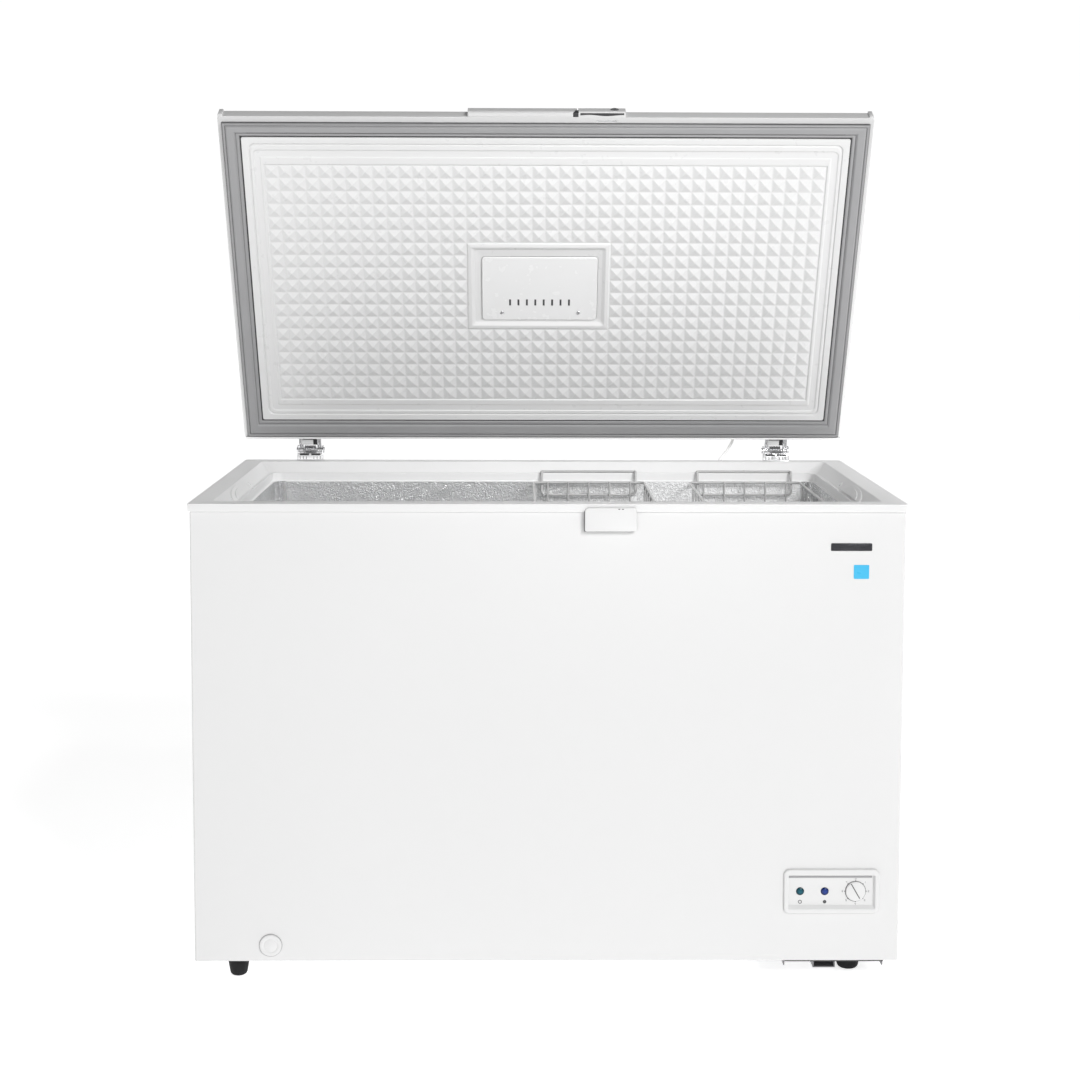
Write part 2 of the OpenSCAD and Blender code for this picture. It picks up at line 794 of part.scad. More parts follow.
// The lid's outside, shrunk inward by g, from the height z up
module lid_shape(g, z) {
    y0 = lid_y0 + g;
    y1 = lid_y1 - g;
    centred(lid_x - g, [y0, y1], [z, rim_z + edge_h]);
    tapered(
        [lid_x - g, y0, y1, rim_z + edge_h - tiny],
        [lid_x - g - crown_in, y0 + crown_in, y1 - crown_in, top_z - g]
    );
}

module lock_cuts() {
    along_y(cyl_r + 0.3, lock_x, [lid_y0 - over, lid_y0 + 8], lock_z);
    block([lock_x - cam_len - 3, lock_x + 8], [lid_y0 + 2, -1], [rim_z - over, rim_z + 20]);
}

module leaf_screw_cuts() {
    for (s = [-1, 1], dx = [-12, 12]) along_y(2.1, s * hinge_x + dx, [600, 640], rim_z + 30);
}

module lead_cut() {
    along_y(3.4, lead_route[0][0], [lid_y1 - 8, lid_y1 + over], rim_z + 12);
}

module lid_skin() color("white") on_lid() {
    difference() {
        lid_shape(0, rim_z);
        lid_shape(sheet, rim_z + sheet);
        centred(seal_x, [seal_y0 - 0.3, seal_y1 + 0.3], [rim_z - over, rim_z + sheet + over]);
        lock_cuts();
        leaf_screw_cuts();
        lead_cut();
    }
}

// The hollow of the lid panel, up to the height top
module inside_panel(top) {
    centred(panel_x - panel_t, [panel_y0 + panel_t, panel_y1 - panel_t], [panel_z + panel_t, top]);
}

module lid_foam() color("wheat") on_lid() {
    difference() {
        union() {
            lid_shape(sheet, rim_z + panel_t);
            inside_panel(rim_z + 3);
        }
        block([lamp_x0, lamp_x1], [lamp_y0, lamp_y1], [panel_z - over, lamp_roof]);
        lock_cuts();
        leaf_screw_cuts();
        lead_cut();
    }
}

module lid_panel() color("whitesmoke") on_lid() {
    difference() {
        union() {
            centred(panel_x, [panel_y0, panel_y1], [panel_z, rim_z + panel_t]);
            centred(seal_x, [seal_y0, seal_y1], [rim_z, rim_z + panel_t]);
        }
        inside_panel(rim_z + 9);
        block([lamp_x0, lamp_x1], [lamp_y0, lamp_y1], [panel_z - over, rim_z]);
    }
}

gasket_in = 0.6;                        // space between the gasket and the panel's edge
magnet_w = 9;
magnet_x = (seal_x + panel_x) / 2;
magnet_y = [(seal_y0 + panel_y0) / 2, (seal_y1 + panel_y1) / 2];

module magnet_strips(grow, z) {
    half = magnet_w / 2 + grow;
    for (s = [-1, 1])
        block([s * magnet_x - half, s * magnet_x + half], [panel_y0 + 10 - grow, panel_y1 - 10 + grow], z);
    for (y = magnet_y)
        block([-panel_x + 10 - grow, panel_x - 10 + grow], [y - half, y + half], z);
}

module lid_gasket() color("darkgrey") on_lid() {
    difference() {
        centred(seal_x, [seal_y0, seal_y1], [mouth_h + 0.4, rim_z]);
        centred(panel_x + gasket_in, [panel_y0 - gasket_in, panel_y1 + gasket_in], [mouth_h, rim_z + over]);
        magnet_strips(0.2, [mouth_h + 2, rim_z + over]);
    }
}

module gasket_magnets() color("dimgrey") on_lid() {
    magnet_strips(0, [mouth_h + 2.2, mouth_h + 5]);
}

// Lamp -------------------------------------------------------------------------

bay_x = [lamp_x0 + 28, lamp_x1 - 26];
bay_y = [lamp_y0 + 30, lamp_y1 - 22];
cover_x = [-113, 94];
cover_y = [252, 378];
lamp_screw_x = [-77.3, 60.6];
lamp_screw_y = 363;

module lamp_housing() color("whitesmoke") on_lid() {
    xm = (lamp_x0 + lamp_x1) / 2;
    half = (lamp_x1 - lamp_x0) / 2;
    difference() {
        block([lamp_x0, lamp_x1], [lamp_y0, lamp_y1], [panel_z, lamp_roof]);
        translate([xm, 0, 0]) tapered(
            [half - 3, lamp_y0 + 3, lamp_y1 - 3, panel_z - tiny],
            [half - 11, lamp_y0 + 12, lamp_y1 - 12, lamp_floor]
        );
        block(bay_x, bay_y, [lamp_floor - over, lamp_roof - 2]);
        for (x = [lamp_x0 + 8, lamp_x1 - 8]) block([x - 4, x + 4], bay_y, [lamp_floor + 3, lamp_roof + over]);
    }
    for (x = lamp_screw_x) difference() {
        along_z(4, x, lamp_screw_y, [lamp_floor + 0.5, lamp_roof - 1]);
        along_z(1.5, x, lamp_screw_y, [lamp_floor, lamp_floor + 12]);
    }
}

module lamp_cover() color("white") on_lid() {
    slot_pitch = 15.2;
    difference() {
        block(cover_x, cover_y, [panel_z + 0.5, lamp_floor]);
        block(
            [cover_x[0] + 4, cover_x[1] - 4],
            [bay_y[0] + 3, bay_y[1] - 3],
            [panel_z + 2.5, lamp_floor + over]
        );
        for (k = [0:7])
            block(
                [-64.5 + k * slot_pitch, -61 + k * slot_pitch],
                [336, 349],
                [panel_z - over, lamp_floor]
            );
        for (x = lamp_screw_x) along_z(1.7, x, lamp_screw_y, [panel_z - over, lamp_floor + over]);
    }
}

module lamp_screws() color("silver") on_lid() {
    for (x = lamp_screw_x) {
        along_z(1.45, x, lamp_screw_y, [panel_z + 0.4, lamp_floor + 11]);
        along_z(3.6, x, lamp_screw_y, [panel_z - 1, panel_z + 0.5]);
    }
}

module lamp_board() color("seagreen") on_lid() {
    block([-96, 76], [262, 352], [lamp_roof - 10, lamp_roof - 8.4]);
    for (k = [0:5]) block([-76 + k * 24, -71 + k * 24], [300, 305], [lamp_roof - 12, lamp_roof - 9.9]);
    // spacers to the housing's roof
    for (x = [-88, 68], y = [270, 344]) block([x, x + 6], [y - 3, y + 3], [lamp_roof - 8.5, lamp_roof - 2]);
}

module tilt_switch() color("silver") on_lid() {
    along_x(4, [30, 50], 325, lamp_roof - 14.1);
}

// Handle and lock --------------------------------------------------------------

// Section of the handle: sloped face, drawn with Y out of the lid's front edge and Z up
module grip_section(h) {
    polygon([[0, 0], [-grip_out + 1.5, 0], [-grip_out, 3], [-grip_out + 3, h], [0, h]]);
}

module grip_bar(x, h) {
    translate([x[0], lid_y0, rim_z]) rotate([90, 0, 90]) linear_extrude(x[1] - x[0]) grip_section(h);
}

module lid_handle() color("white") on_lid() {
    difference() {
        grip_bar([handle_x0, handle_x1], 25);
        block(
            [handle_x0 + 4, handle_x1 - 4],
            [lid_y0 - grip_out + 3.5, lid_y0 - 0.8],
            [rim_z - over, rim_z + 20]
        );
    }
}

module lock_housing() color("white") on_lid() {
    difference() {
        grip_bar([lock_x0, lock_x1], 25);
        along_y(cyl_r + fit, lock_x, [lid_y0 - grip_out - over, lid_y0 + over], lock_z);
    }
}

module lock_cylinder() color("silver") on_lid() {
    face_y = lid_y0 - grip_out;
    difference() {
        along_y(cyl_r, lock_x, [face_y - 0.5, lid_y0 + 4], lock_z);
        // key slot
        block([lock_x - 1, lock_x + 1], [face_y - over, face_y + 5], [lock_z - 4, lock_z + 4]);
    }
}

module lock_cam() color("silver") on_lid() {
    y = [lid_y0 + 6.8, lid_y0 + 8.5];
    along_y(6, lock_x, [lid_y0 + 4, y[1]], lock_z);
    block([lock_x - cam_len, lock_x], y, [lock_z - 4, lock_z + 4]);
}

outer_wrap();
back_panel();
base_pan();
foam_insulation();
inner_liner();
top_collar();
evaporator_coil();
condenser_coil();
compressor();
compressor_grommets();
compressor_tray();
start_relay();
filter_drier();
refrigerant_lines();
thermostat_body();
thermostat_bulb();
control_bezel();
power_lamp();
run_lamp();
thermostat_dial();
drain_cap();
drain_tube();
drain_plug();
feet();
side_vent();
compressor_cover();
cord_gland();
lead_grommet();
lock_strike();
nameplate();
info_label();
cabinet_screws();
hinge_bracket_left();
hinge_bracket_right();
hinge_pin_left();
hinge_pin_right();
hinge_spring_left();
hinge_spring_right();
hinge_leaf_left();
hinge_leaf_right();
basket_left();
basket_right();
lamp_lead();
lid_skin();
lid_foam();
lid_panel();
lid_gasket();
gasket_magnets();
leaf_screws();
lamp_housing();
lamp_cover();
lamp_board();
tilt_switch();
lamp_screws();
lid_handle();
lock_housing();
lock_cylinder();
lock_cam();
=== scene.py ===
"""Looks of the chest freezer: an open counterbalanced lid with a quilted inner panel, a tub of embossed
aluminium, two hanging wire baskets, a key lock and a control bezel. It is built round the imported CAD
frame. Sizes below are millimetres: X to the right, Y back from the collar's front face, Z up from the
floor. Lid pieces are drawn with the lid shut and then stood open with the frame's own hinge angle."""

import json
import math

import bmesh
import bpy
import numpy as np
from mathutils import Matrix, Vector


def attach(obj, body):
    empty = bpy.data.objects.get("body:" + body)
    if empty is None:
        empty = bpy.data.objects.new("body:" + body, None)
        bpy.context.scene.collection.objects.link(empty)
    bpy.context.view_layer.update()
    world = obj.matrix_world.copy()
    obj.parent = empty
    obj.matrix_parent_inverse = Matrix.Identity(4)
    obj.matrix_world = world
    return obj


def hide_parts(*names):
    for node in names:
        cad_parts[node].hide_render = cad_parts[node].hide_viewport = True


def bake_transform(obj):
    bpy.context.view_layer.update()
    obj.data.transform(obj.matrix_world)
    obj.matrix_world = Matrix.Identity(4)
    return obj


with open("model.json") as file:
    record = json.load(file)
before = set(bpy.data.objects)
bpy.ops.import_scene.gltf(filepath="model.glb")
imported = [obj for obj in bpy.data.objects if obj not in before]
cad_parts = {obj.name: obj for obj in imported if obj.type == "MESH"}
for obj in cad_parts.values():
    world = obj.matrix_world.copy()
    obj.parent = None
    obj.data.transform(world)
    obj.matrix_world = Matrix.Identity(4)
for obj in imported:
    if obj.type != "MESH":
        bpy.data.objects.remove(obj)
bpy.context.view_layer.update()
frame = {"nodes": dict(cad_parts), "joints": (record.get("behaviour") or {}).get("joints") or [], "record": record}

JOINTS = {joint["name"]: joint for joint in frame["joints"]}
SLOT_OF = {part["node"]: part["material_slot"] for part in frame["record"]["subparts"]}

# --- Places shared by the pieces
ORIGIN_Y = 349                       # the row's origin lies this far behind the collar's front face
PIVOT = Vector((0, 664.4, 777))      # hinge axis
MOUTH = 763                          # top of the collar
DEPTH = 630
CASE_X = 555.5
CASE_Y = (3.5, 626.5)
CASE_Z = (36, 760)
RIM_Z = 773                          # rim of the shut lid
LID_X = 563.5
LID_Y = (-11, 635)
FIELD_X = 487.7                      # quilted field of the lid panel
FIELD_Y = (76, 545.4)
CELLS = (42, 19)
CELL = (2 * FIELD_X / CELLS[0], (FIELD_Y[1] - FIELD_Y[0]) / CELLS[1])
LAMP_CELLS = (15, 26, 6, 13)         # cells that the lamp takes out: columns, then rows from the front
HINGE_X = 441
BEZEL = (447.8, 148)
CONTROL_Z = 147.3
DIAL = (486.4, 147.3)
LAMPS_X = (398.8, 437.8)
DRAIN = (-436, 61.5)
LEAD = (326, 744)                    # where the lamp's lead leaves the back

# From the millimetre drawing to the row frame, and the same for pieces of the lid
TO_ROW = Matrix.Scale(0.001, 4) @ Matrix.Translation((0, -ORIGIN_Y, 0))
OPEN_ANGLE = math.radians(JOINTS["lid_hinge"]["range_deg"][0])
LID_TO_ROW = (
    TO_ROW @ Matrix.Translation(PIVOT) @ Matrix.Rotation(OPEN_ANGLE, 4, "X") @ Matrix.Translation(-PIVOT)
)


# --- Camera, light and stage
def add_object(name, data):
    obj = bpy.data.objects.new(name, data)
    bpy.context.scene.collection.objects.link(obj)
    return obj


def make_camera():
    data = bpy.data.cameras.new("camera")
    camera = add_object("camera", data)
    data.lens = 62.26
    data.shift_y = -0.12
    data.clip_end = 100
    camera.matrix_world = (
        Matrix.Translation((-0.0455, -3.2143, 1.1466))
        @ Matrix.Rotation(math.radians(-0.635), 4, "Z")
        @ Matrix.Rotation(math.radians(90 - 4.75), 4, "X")
        @ Matrix.Rotation(math.radians(0.155), 4, "Z")
    )
    bpy.context.scene.camera = camera


def aimed_light(name, kind, place, target, power):
    data = bpy.data.lights.new(name, kind)
    data.energy = power
    aim = Vector(target) - Vector(place)
    turn = aim.to_track_quat("-Z", "Y").to_matrix().to_4x4()
    add_object(name, data).matrix_world = Matrix.Translation(place) @ turn
    return data


def area_light(name, place, target, size, power):
    data = aimed_light(name, "AREA", place, target, power)
    data.shape = "RECTANGLE"
    data.size, data.size_y = size


def sun_light(name, towards, strength, angle):
    """Broad distant light; towards points from the object to the light."""
    data = bpy.data.lights.new(name, "SUN")
    data.energy = strength
    data.angle = math.radians(angle)
    add_object(name, data).matrix_world = Vector(towards).to_track_quat("Z", "Y").to_matrix().to_4x4()


def spot_light(name, place, target, cone, power):
    data = aimed_light(name, "SPOT", place, target, power)
    data.spot_size = math.radians(cone)
    data.spot_blend = 0.7
    data.shadow_soft_size = 0.25


def make_world():
    """White studio surround: an even bright band at the horizon, dimmer overhead and above the front."""
    world = bpy.data.worlds.new("studio")
    bpy.context.scene.world = world
    m = Nodes(world, "Background", "Generated")
    split = m.new("ShaderNodeSeparateXYZ", Vector=m.coords)
    up = split.outputs["Z"]
    back = m.span(split.outputs["Y"], 0.34, 1.02, -0.25, 0.25)
    band = m.span(up, 1.02, 0.0, 0.17, 0.27)
    m.set(Color=m.ramp(up, WHITE, (*grey(0.15), 1), 0.20, 0.60), Strength=m.math("MAXIMUM", back, band))


def make_stage():
    floor = Shape("floor")
    far = 30000
    floor.add([(-far, -far, 0), (far, -far, 0), (far, far, 0), (-far, far, 0)], [(0, 1, 2, 3)])
    data = floor.mesh(TO_ROW)
    m = Nodes(bpy.data.materials.new("pale_floor"))
    m.set(Base_Color=(*grey(0.9), 1), Roughness=0.9, Emission_Color=WHITE, Emission_Strength=0.74)
    data.materials.append(m.owner)
    add_object("floor", data)


# --- Outlines and profiles
def arc(cx, cy, r, start, end, n):
    """Points along an arc from one angle to another, in degrees."""
    turns = [math.radians(start + (end - start) * k / n) for k in range(n + 1)]
    return [(cx + r * math.cos(a), cy + r * math.sin(a)) for a in turns]


def rounded_rect(x0, x1, y0, y1, r, n=6):
    """Points round a rectangle with rounded corners."""
    r = max(min(r, (x1 - x0) / 2, (y1 - y0) / 2), 0.05)
    corners = ((x1 - r, y1 - r, 0), (x0 + r, y1 - r, 90), (x0 + r, y0 + r, 180), (x1 - r, y0 + r, 270))
    return [point for cx, cy, start in corners for point in arc(cx, cy, r, start, start + 90, n)]


def drawn_in(box, inset, height, r):
    """A level of nested rectangles: the box (x0, x1, y0, y1) drawn in on its four sides."""
    x0, x1, y0, y1 = box
    return (x0 + inset, x1 - inset, y0 + inset, y1 - inset, height, r)


def circle(cx, cy, r, n=48):
    turns = [2 * math.pi * k / n for k in range(n)]
    return [(cx + r * math.cos(a), cy + r * math.sin(a)) for a in turns]


def softened(points, r, steps=3, closed=False):
    """A line of points with each corner rounded over the distance r, which may be one number or a list."""
    points = [np.array(p, float) for p in points]
    count = len(points)
    out = []
    for i, p in enumerate(points):
        reach = r[i] if isinstance(r, (list, tuple)) else r
        if not closed and i in (0, count - 1) or reach <= 0:
            out.append(p)
            continue
        before, after = points[i - 1] - p, points[(i + 1) % count] - p
        a = p + before * min(reach / max(np.linalg.norm(before), 1e-6), 0.49)
        b = p + after * min(reach / max(np.linalg.norm(after), 1e-6), 0.49)
        for k in range(steps + 1):
            s = k / steps
            out.append((1 - s) ** 2 * a + 2 * s * (1 - s) * p + s * s * b)
    return [tuple(p) for p in out]


def xy(points, z):
    return [(x, y, z) for x, y in points]


def xz(points, y):
    return [(x, y, z) for x, z in points]


# --- Mesh building
class Shape:
    """Points and faces of one piece, in millimetres."""

    def __init__(self, name):
        self.name = name
        self.points = []
        self.faces = []

    def add(self, points, faces):
        base = len(self.points)
        self.points += [tuple(p) for p in points]
        self.faces += [tuple(base + i for i in face) for face in faces]
        return list(range(base, base + len(points)))

    def loops(self, loops, closed=True, caps=(False, False)):
        """A skin over a row of loops with equal numbers of points."""
        count = len(loops[0])
        rows = [self.add(loop, []) for loop in loops]
        span = count if closed else count - 1
        for a, b in zip(rows, rows[1:]):
            for k in range(span):
                m = (k + 1) % count
                self.faces.append((a[k], a[m], b[m], b[k]))
        if caps[0]:
            self.faces.append(tuple(reversed(rows[0])))
        if caps[1]:
            self.faces.append(tuple(rows[-1]))
        return rows

    def levels(self, levels, n=6, caps=(False, False), upright=False):
        """Nested rounded rectangles, each (x0, x1, y0, y1, height, radius); upright ones stand in XZ."""
        put = xz if upright else xy
        self.loops([put(rounded_rect(*lv[:4], lv[5], n), lv[4]) for lv in levels], caps=caps)

    def block(self, x, y, z, r=0.4):
        """Block with softened edges."""
        edge = ((r, 0), (r * 0.3, r * 0.3), (0, r))
        ends = [(inset, z[0] + rise) for inset, rise in edge]
        ends += [(inset, z[1] - rise) for inset, rise in reversed(edge)]
        self.levels([drawn_in((*x, *y), inset, height, r) for inset, height in ends], n=3, caps=(True, True))

    def turned(self, profile, centre, axis="Z", n=32, caps=(True, True)):
        """Body of revolution; profile is (radius, height) along the axis from its start to its end."""
        cx, cy, cz = centre
        loops = []
        for r, h in profile:
            ring = circle(0, 0, max(r, 0.01), n)
            if axis == "Z":
                loops.append([(cx + u, cy + v, cz + h) for u, v in ring])
            elif axis == "Y":
                loops.append([(cx + u, cy + h, cz - v) for u, v in ring])
            else:
                loops.append([(cx + h, cy + u, cz + v) for u, v in ring])
        self.loops(loops, caps=caps)

    def tube(self, path, r, n=10, closed=False):
        """Round wire along a path, kept from twisting."""
        path = [Vector(p) for p in path]
        count = len(path)
        side = None
        loops = []
        for i, p in enumerate(path):
            if closed:
                along = path[(i + 1) % count] - path[i - 1]
            else:
                along = path[min(i + 1, count - 1)] - path[max(i - 1, 0)]
            along.normalize()
            if side is None:
                side = along.orthogonal().normalized()
            side = (side - along * side.dot(along)).normalized()
            other = along.cross(side)
            turn = [2 * math.pi * k / n for k in range(n)]
            loops.append([p + r * (math.cos(a) * side + math.sin(a) * other) for a in turn])
        if closed:
            loops.append(loops[0])
        self.loops(loops, caps=(not closed, not closed))

    def mesh(self, matrix, sharp=32):
        data = bpy.data.meshes.new(self.name)
        data.from_pydata([matrix @ Vector(p) for p in self.points], [], self.faces)
        work = bmesh.new()
        work.from_mesh(data)
        bmesh.ops.remove_doubles(work, verts=work.verts, dist=0.00001)
        bmesh.ops.dissolve_degenerate(work, edges=work.edges, dist=0.00001)
        bmesh.ops.recalc_face_normals(work, faces=work.faces)
        work.to_mesh(data)
        work.free()
        data.polygons.foreach_set("use_smooth", [True] * len(data.polygons))
        data.set_sharp_from_angle(angle=math.radians(sharp))
        return data

    def place(self, body, *nodes, slot=None, look=None, sharp=32):
        """Makes the object, gives it its material and lets it ride on a body in place of its CAD nodes."""
        slot = slot or SLOT_OF[nodes[0]]
        data = self.mesh(LID_TO_ROW if body in ("lid", "lock") else TO_ROW, sharp)
        data.materials.append(MATERIALS[look or slot])
        obj = add_object(self.name, data)
        if nodes:
            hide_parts(*nodes)
        if body:
            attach(obj, body)
        return obj


def one_block(name, body, x, y, z, r, **look):
    """A piece that is a single block."""
    shape = Shape(name)
    shape.block(x, y, z, r)
    shape.place(body, **look)


def one_turned(name, body, node, profile, centre, axis, n, caps=(True, True), look=None):
    """A piece that is a single body of revolution."""
    shape = Shape(name)
    shape.turned(profile, centre, axis, n, caps)
    shape.place(body, node, look=look)


def slotted_face(shape, cuts_a, cuts_b, put, face, bottom):
    """Flat face cut into fields, with a slot down to bottom in every second field both ways."""
    for i, (a, b) in enumerate(zip(cuts_a, cuts_a[1:])):
        for j, (c, d) in enumerate(zip(cuts_b, cuts_b[1:])):
            corners = [(a, c), (b, c), (b, d), (a, d)]
            if i % 2 and j % 2:
                shape.loops([put(corners, face), put(corners, bottom)])
            else:
                shape.add(put(corners, face), [(0, 1, 2, 3)])


def paint_faces(obj, look, chosen):
    """Gives the faces that chosen picks, by their normal and middle, a second material of the same slot."""
    obj.data.materials.append(MATERIALS[look])
    for face in obj.data.polygons:
        if chosen(face.normal, face.center):
            face.material_index = len(obj.data.materials) - 1


# --- Materials
MATERIALS = {}
WHITE = (1, 1, 1, 1)


class Nodes:
    """Short hand for building the node tree of a material or world round its shader."""

    def __init__(self, owner, shader="Principled BSDF", coords="Object"):
        owner.use_nodes = True
        self.owner = owner
        self.tree = owner.node_tree
        self.shader = self.tree.nodes[shader]
        self.coords = self.tree.nodes.new("ShaderNodeTexCoord").outputs[coords]

    def put(self, value, socket):
        """Links the socket when the value is a node's output, or else sets it."""
        if isinstance(value, bpy.types.NodeSocket):
            self.tree.links.new(value, socket)
        else:
            socket.default_value = value

    def set(self, **values):
        for key, value in values.items():
            self.put(value, self.shader.inputs[key.replace("_", " ")])

    def new(self, kind, **inputs):
        node = self.tree.nodes.new(kind)
        for key, value in inputs.items():
            self.put(value, node.inputs[key.replace("_", " ")])
        return node

    def axis(self, name):
        return self.new("ShaderNodeSeparateXYZ", Vector=self.coords).outputs[name]

    def noise(self, scale, detail=2.0, stretch=None, distortion=0.0):
        """Noise; stretch is a scale for each axis, with three angles after it where the grain is turned."""
        vector = self.coords
        if stretch:
            mapping = self.new("ShaderNodeMapping", Vector=vector, Scale=stretch[:3])
            if len(stretch) > 3:
                mapping.inputs["Rotation"].default_value = stretch[3:]
            vector = mapping.outputs[0]
        settings = {"Scale": scale, "Detail": detail, "Distortion": distortion}
        return self.new("ShaderNodeTexNoise", Vector=vector, **settings).outputs["Fac"]

    def ramp(self, value, low, high, start=0.3, end=0.7):
        node = self.new("ShaderNodeValToRGB", Fac=value)
        for element, place, tone in zip(node.color_ramp.elements, (start, end), (low, high)):
            element.position, element.color = place, tone
        return node.outputs["Color"]

    def span(self, value, low, high, start=0.3, end=0.7):
        node = self.new(
            "ShaderNodeMapRange", Value=value, From_Min=start, From_Max=end, To_Min=low, To_Max=high
        )
        return node.outputs["Result"]

    def math(self, operation, a, b):
        node = self.tree.nodes.new("ShaderNodeMath")
        node.operation = operation
        for socket, value in zip(node.inputs, (a, b)):
            self.put(value, socket)
        return node.outputs[0]

    def colour(self, rgb, mottle, scale=6.0):
        """Base colour with a slow, slight drift of brightness."""
        low = (*[c * (1 - mottle) for c in rgb], 1)
        high = (*[min(c * (1 + mottle), 1) for c in rgb], 1)
        self.set(Base_Color=self.ramp(self.noise(scale, 3.0), low, high))

    def rough(self, value, spread, scale=40.0, stretch=None):
        noise = self.noise(scale, 2.0, stretch)
        self.set(Roughness=self.span(noise, max(value - spread, 0.02), value + spread))

    def bump(self, height, distance, strength=1.0):
        node = self.new("ShaderNodeBump", Height=height, Distance=distance, Strength=strength)
        self.set(Normal=node.outputs["Normal"])


def grey(tone):
    return (tone, tone, tone)


def new_look(name):
    MATERIALS[name] = bpy.data.materials.new(name)
    return Nodes(MATERIALS[name])


def painted(name, rgb, rough=0.3, peel=0.00003):
    """Painted sheet steel with a faint orange peel."""
    m = new_look(name)
    m.colour(rgb, 0.003, 3.0)
    m.rough(rough, 0.02, 12.0)
    m.bump(m.noise(420.0, 1.0), peel, 0.6)
    m.set(Specular_IOR_Level=0.5, Coat_Weight=0.25, Coat_Roughness=0.12)


def fading(name, axis, low, high, start, end):
    """White whose strength drifts from low to high along one axis of the object, in metres, as painted light and
    shade.
    """
    m = new_look(name)
    along = m.math("ADD", m.axis(axis), m.math("MULTIPLY", m.noise(3.0), 0.02))
    tone = m.span(along, 0.0, 1.0, start, end)
    m.set(Base_Color=m.ramp(tone, (*grey(low), 1), (*grey(high), 1), 0.0, 1.0))
    m.rough(0.33, 0.02, 12.0)


def moulded(name, rgb, rough=0.38, grain=0.00004, size=1400.0, mottle=0.015, **more):
    """Moulded plastic or rubber with a fine grain."""
    m = new_look(name)
    m.colour(rgb, mottle, 9.0)
    m.rough(rough, 0.03, 60.0)
    m.bump(m.noise(size, 2.0), grain, 0.7)
    m.set(**more)


def metal(name, rgb, rough=0.3, stretch=(1, 1, 1), grain=0.00002, size=900.0, mottle=0.06):
    """Bare or plated metal with a directional grain."""
    m = new_look(name)
    m.colour(rgb, mottle, 30.0)
    m.rough(rough, 0.09, 90.0, stretch)
    m.bump(m.noise(size, 2.0, stretch), grain, 0.6)
    m.set(Metallic=1.0)


def embossed(name):
    """Aluminium sheet with a stucco emboss: short worm-like ridges."""
    m = new_look(name)
    m.colour((0.93, 0.935, 0.94), 0.03, 14.0)
    turn = (0.0, math.radians(40), 0.0)
    one, two = (m.noise(150.0, 0.6, (*scale, *turn), 1.2) for scale in ((1.0, 1.0, 2.3), (2.3, 1.0, 1.0)))
    ridge = m.span(m.math("MULTIPLY", one, two), 0.0, 1.0, 0.17, 0.33)
    m.bump(ridge, 0.0016, 1.0)
    # the sheet is less metallic towards the shallow end of the tub and there glows faintly, most on its ridges, a
    # painted light; in its corners it is fully metallic and glossy and does not glow
    across = m.axis("X")
    corner = m.span(m.math("ABSOLUTE", across, 0.0), 0.0, 1.0, 0.470, 0.482)
    pale = m.math("MULTIPLY", m.span(across, 0.0, 0.17, -0.02, 0.2), m.span(ridge, 0.5, 1.0, 0.0, 1.0))
    m.set(
        Metallic=m.math("MAXIMUM", m.span(across, 0.76, 0.1, 0.0, 0.28), corner),
        Roughness=m.span(corner, 0.36, 0.16, 0.0, 1.0),
        Emission_Strength=m.math("MULTIPLY", pale, m.span(corner, 1.0, 0.0, 0.0, 1.0)),
        Emission_Color=WHITE,
    )


def lens(name, rgb, x):
    """Tinted clear plastic over an unlit lamp at x: its colour darkens from the middle to nearly black at the rim,
    a painted shade.
    """
    m = new_look(name)
    reach = m.new("ShaderNodeVectorMath")
    reach.operation = "DISTANCE"
    m.put(m.coords, reach.inputs[0])
    m.put(TO_ROW @ Vector((x, 2.5, CONTROL_Z)), reach.inputs[1])
    away = m.math("ADD", reach.outputs["Value"], m.math("MULTIPLY", m.noise(300.0), 0.0012))
    # colour at the rim, a painted shade
    dark = [c * 0.12 for c in rgb]
    m.rough(0.12, 0.04, 300.0)
    m.set(
        Base_Color=m.ramp(away, (*rgb, 1), (*dark, 1), 0.002, 0.006),
        Coat_Weight=0.15, Coat_Roughness=0.05, Specular_IOR_Level=0.25,
    )


def foam(name, rgb):
    m = new_look(name)
    m.colour(rgb, 0.10, 60.0)
    m.rough(0.85, 0.08, 200.0)
    m.bump(m.noise(900.0, 3.0), 0.0004, 0.8)


painted("white_steel", grey(0.63))
metal("zinc_steel", (0.62, 0.63, 0.64), 0.42, (1, 1, 6))
foam("foam", (0.72, 0.62, 0.42))
embossed("embossed_aluminium")
moulded("white_plastic", grey(0.84), 0.35, mottle=0.004)
metal("aluminium_tube", (0.75, 0.76, 0.77), 0.3, (8, 1, 1))
metal("dark_steel_tube", (0.10, 0.10, 0.11), 0.45, (8, 1, 1))
painted("black_steel", (0.018, 0.018, 0.02), 0.4, 0.00008)
moulded("black_rubber", (0.008, 0.008, 0.009), 0.8, 0.0001, 900.0, 0.1, Specular_IOR_Level=0.12)
painted("grey_steel", (0.20, 0.20, 0.21), 0.45, 0.00005)
moulded("black_plastic", (0.011, 0.011, 0.012), 0.6, 0.00008, 900.0, 0.1, Specular_IOR_Level=0.15)
metal("copper", (0.72, 0.34, 0.20), 0.28, (1, 1, 5), mottle=0.12)
moulded("grey_plastic", grey(0.62), 0.45)
lens("green_lens", (0.0, 0.11, 0.16), LAMPS_X[0])
lens("blue_lens", (0.012, 0.045, 0.27), LAMPS_X[1])
moulded("dial_plastic", grey(0.87), 0.3)
moulded("white_rubber", (0.82, 0.82, 0.81), 0.6, 0.00006, 1200.0)
metal("dark_badge", (0.05, 0.05, 0.055), 0.3, (1, 1, 12), 0.00001, 2500.0, 0.1)
moulded("blue_label", (0.035, 0.40, 0.66), 0.3, 0.00001)
metal("bright_steel", (0.78, 0.78, 0.79), 0.18, (1, 5, 1))
metal("spring_steel", (0.42, 0.42, 0.43), 0.25, (1, 8, 8))
moulded("coated_wire", grey(0.50), 0.3, 0.00003, 1500.0, 0.02, Coat_Weight=0.3)
moulded("white_cable", (0.85, 0.85, 0.84), 0.45, size=1600.0)
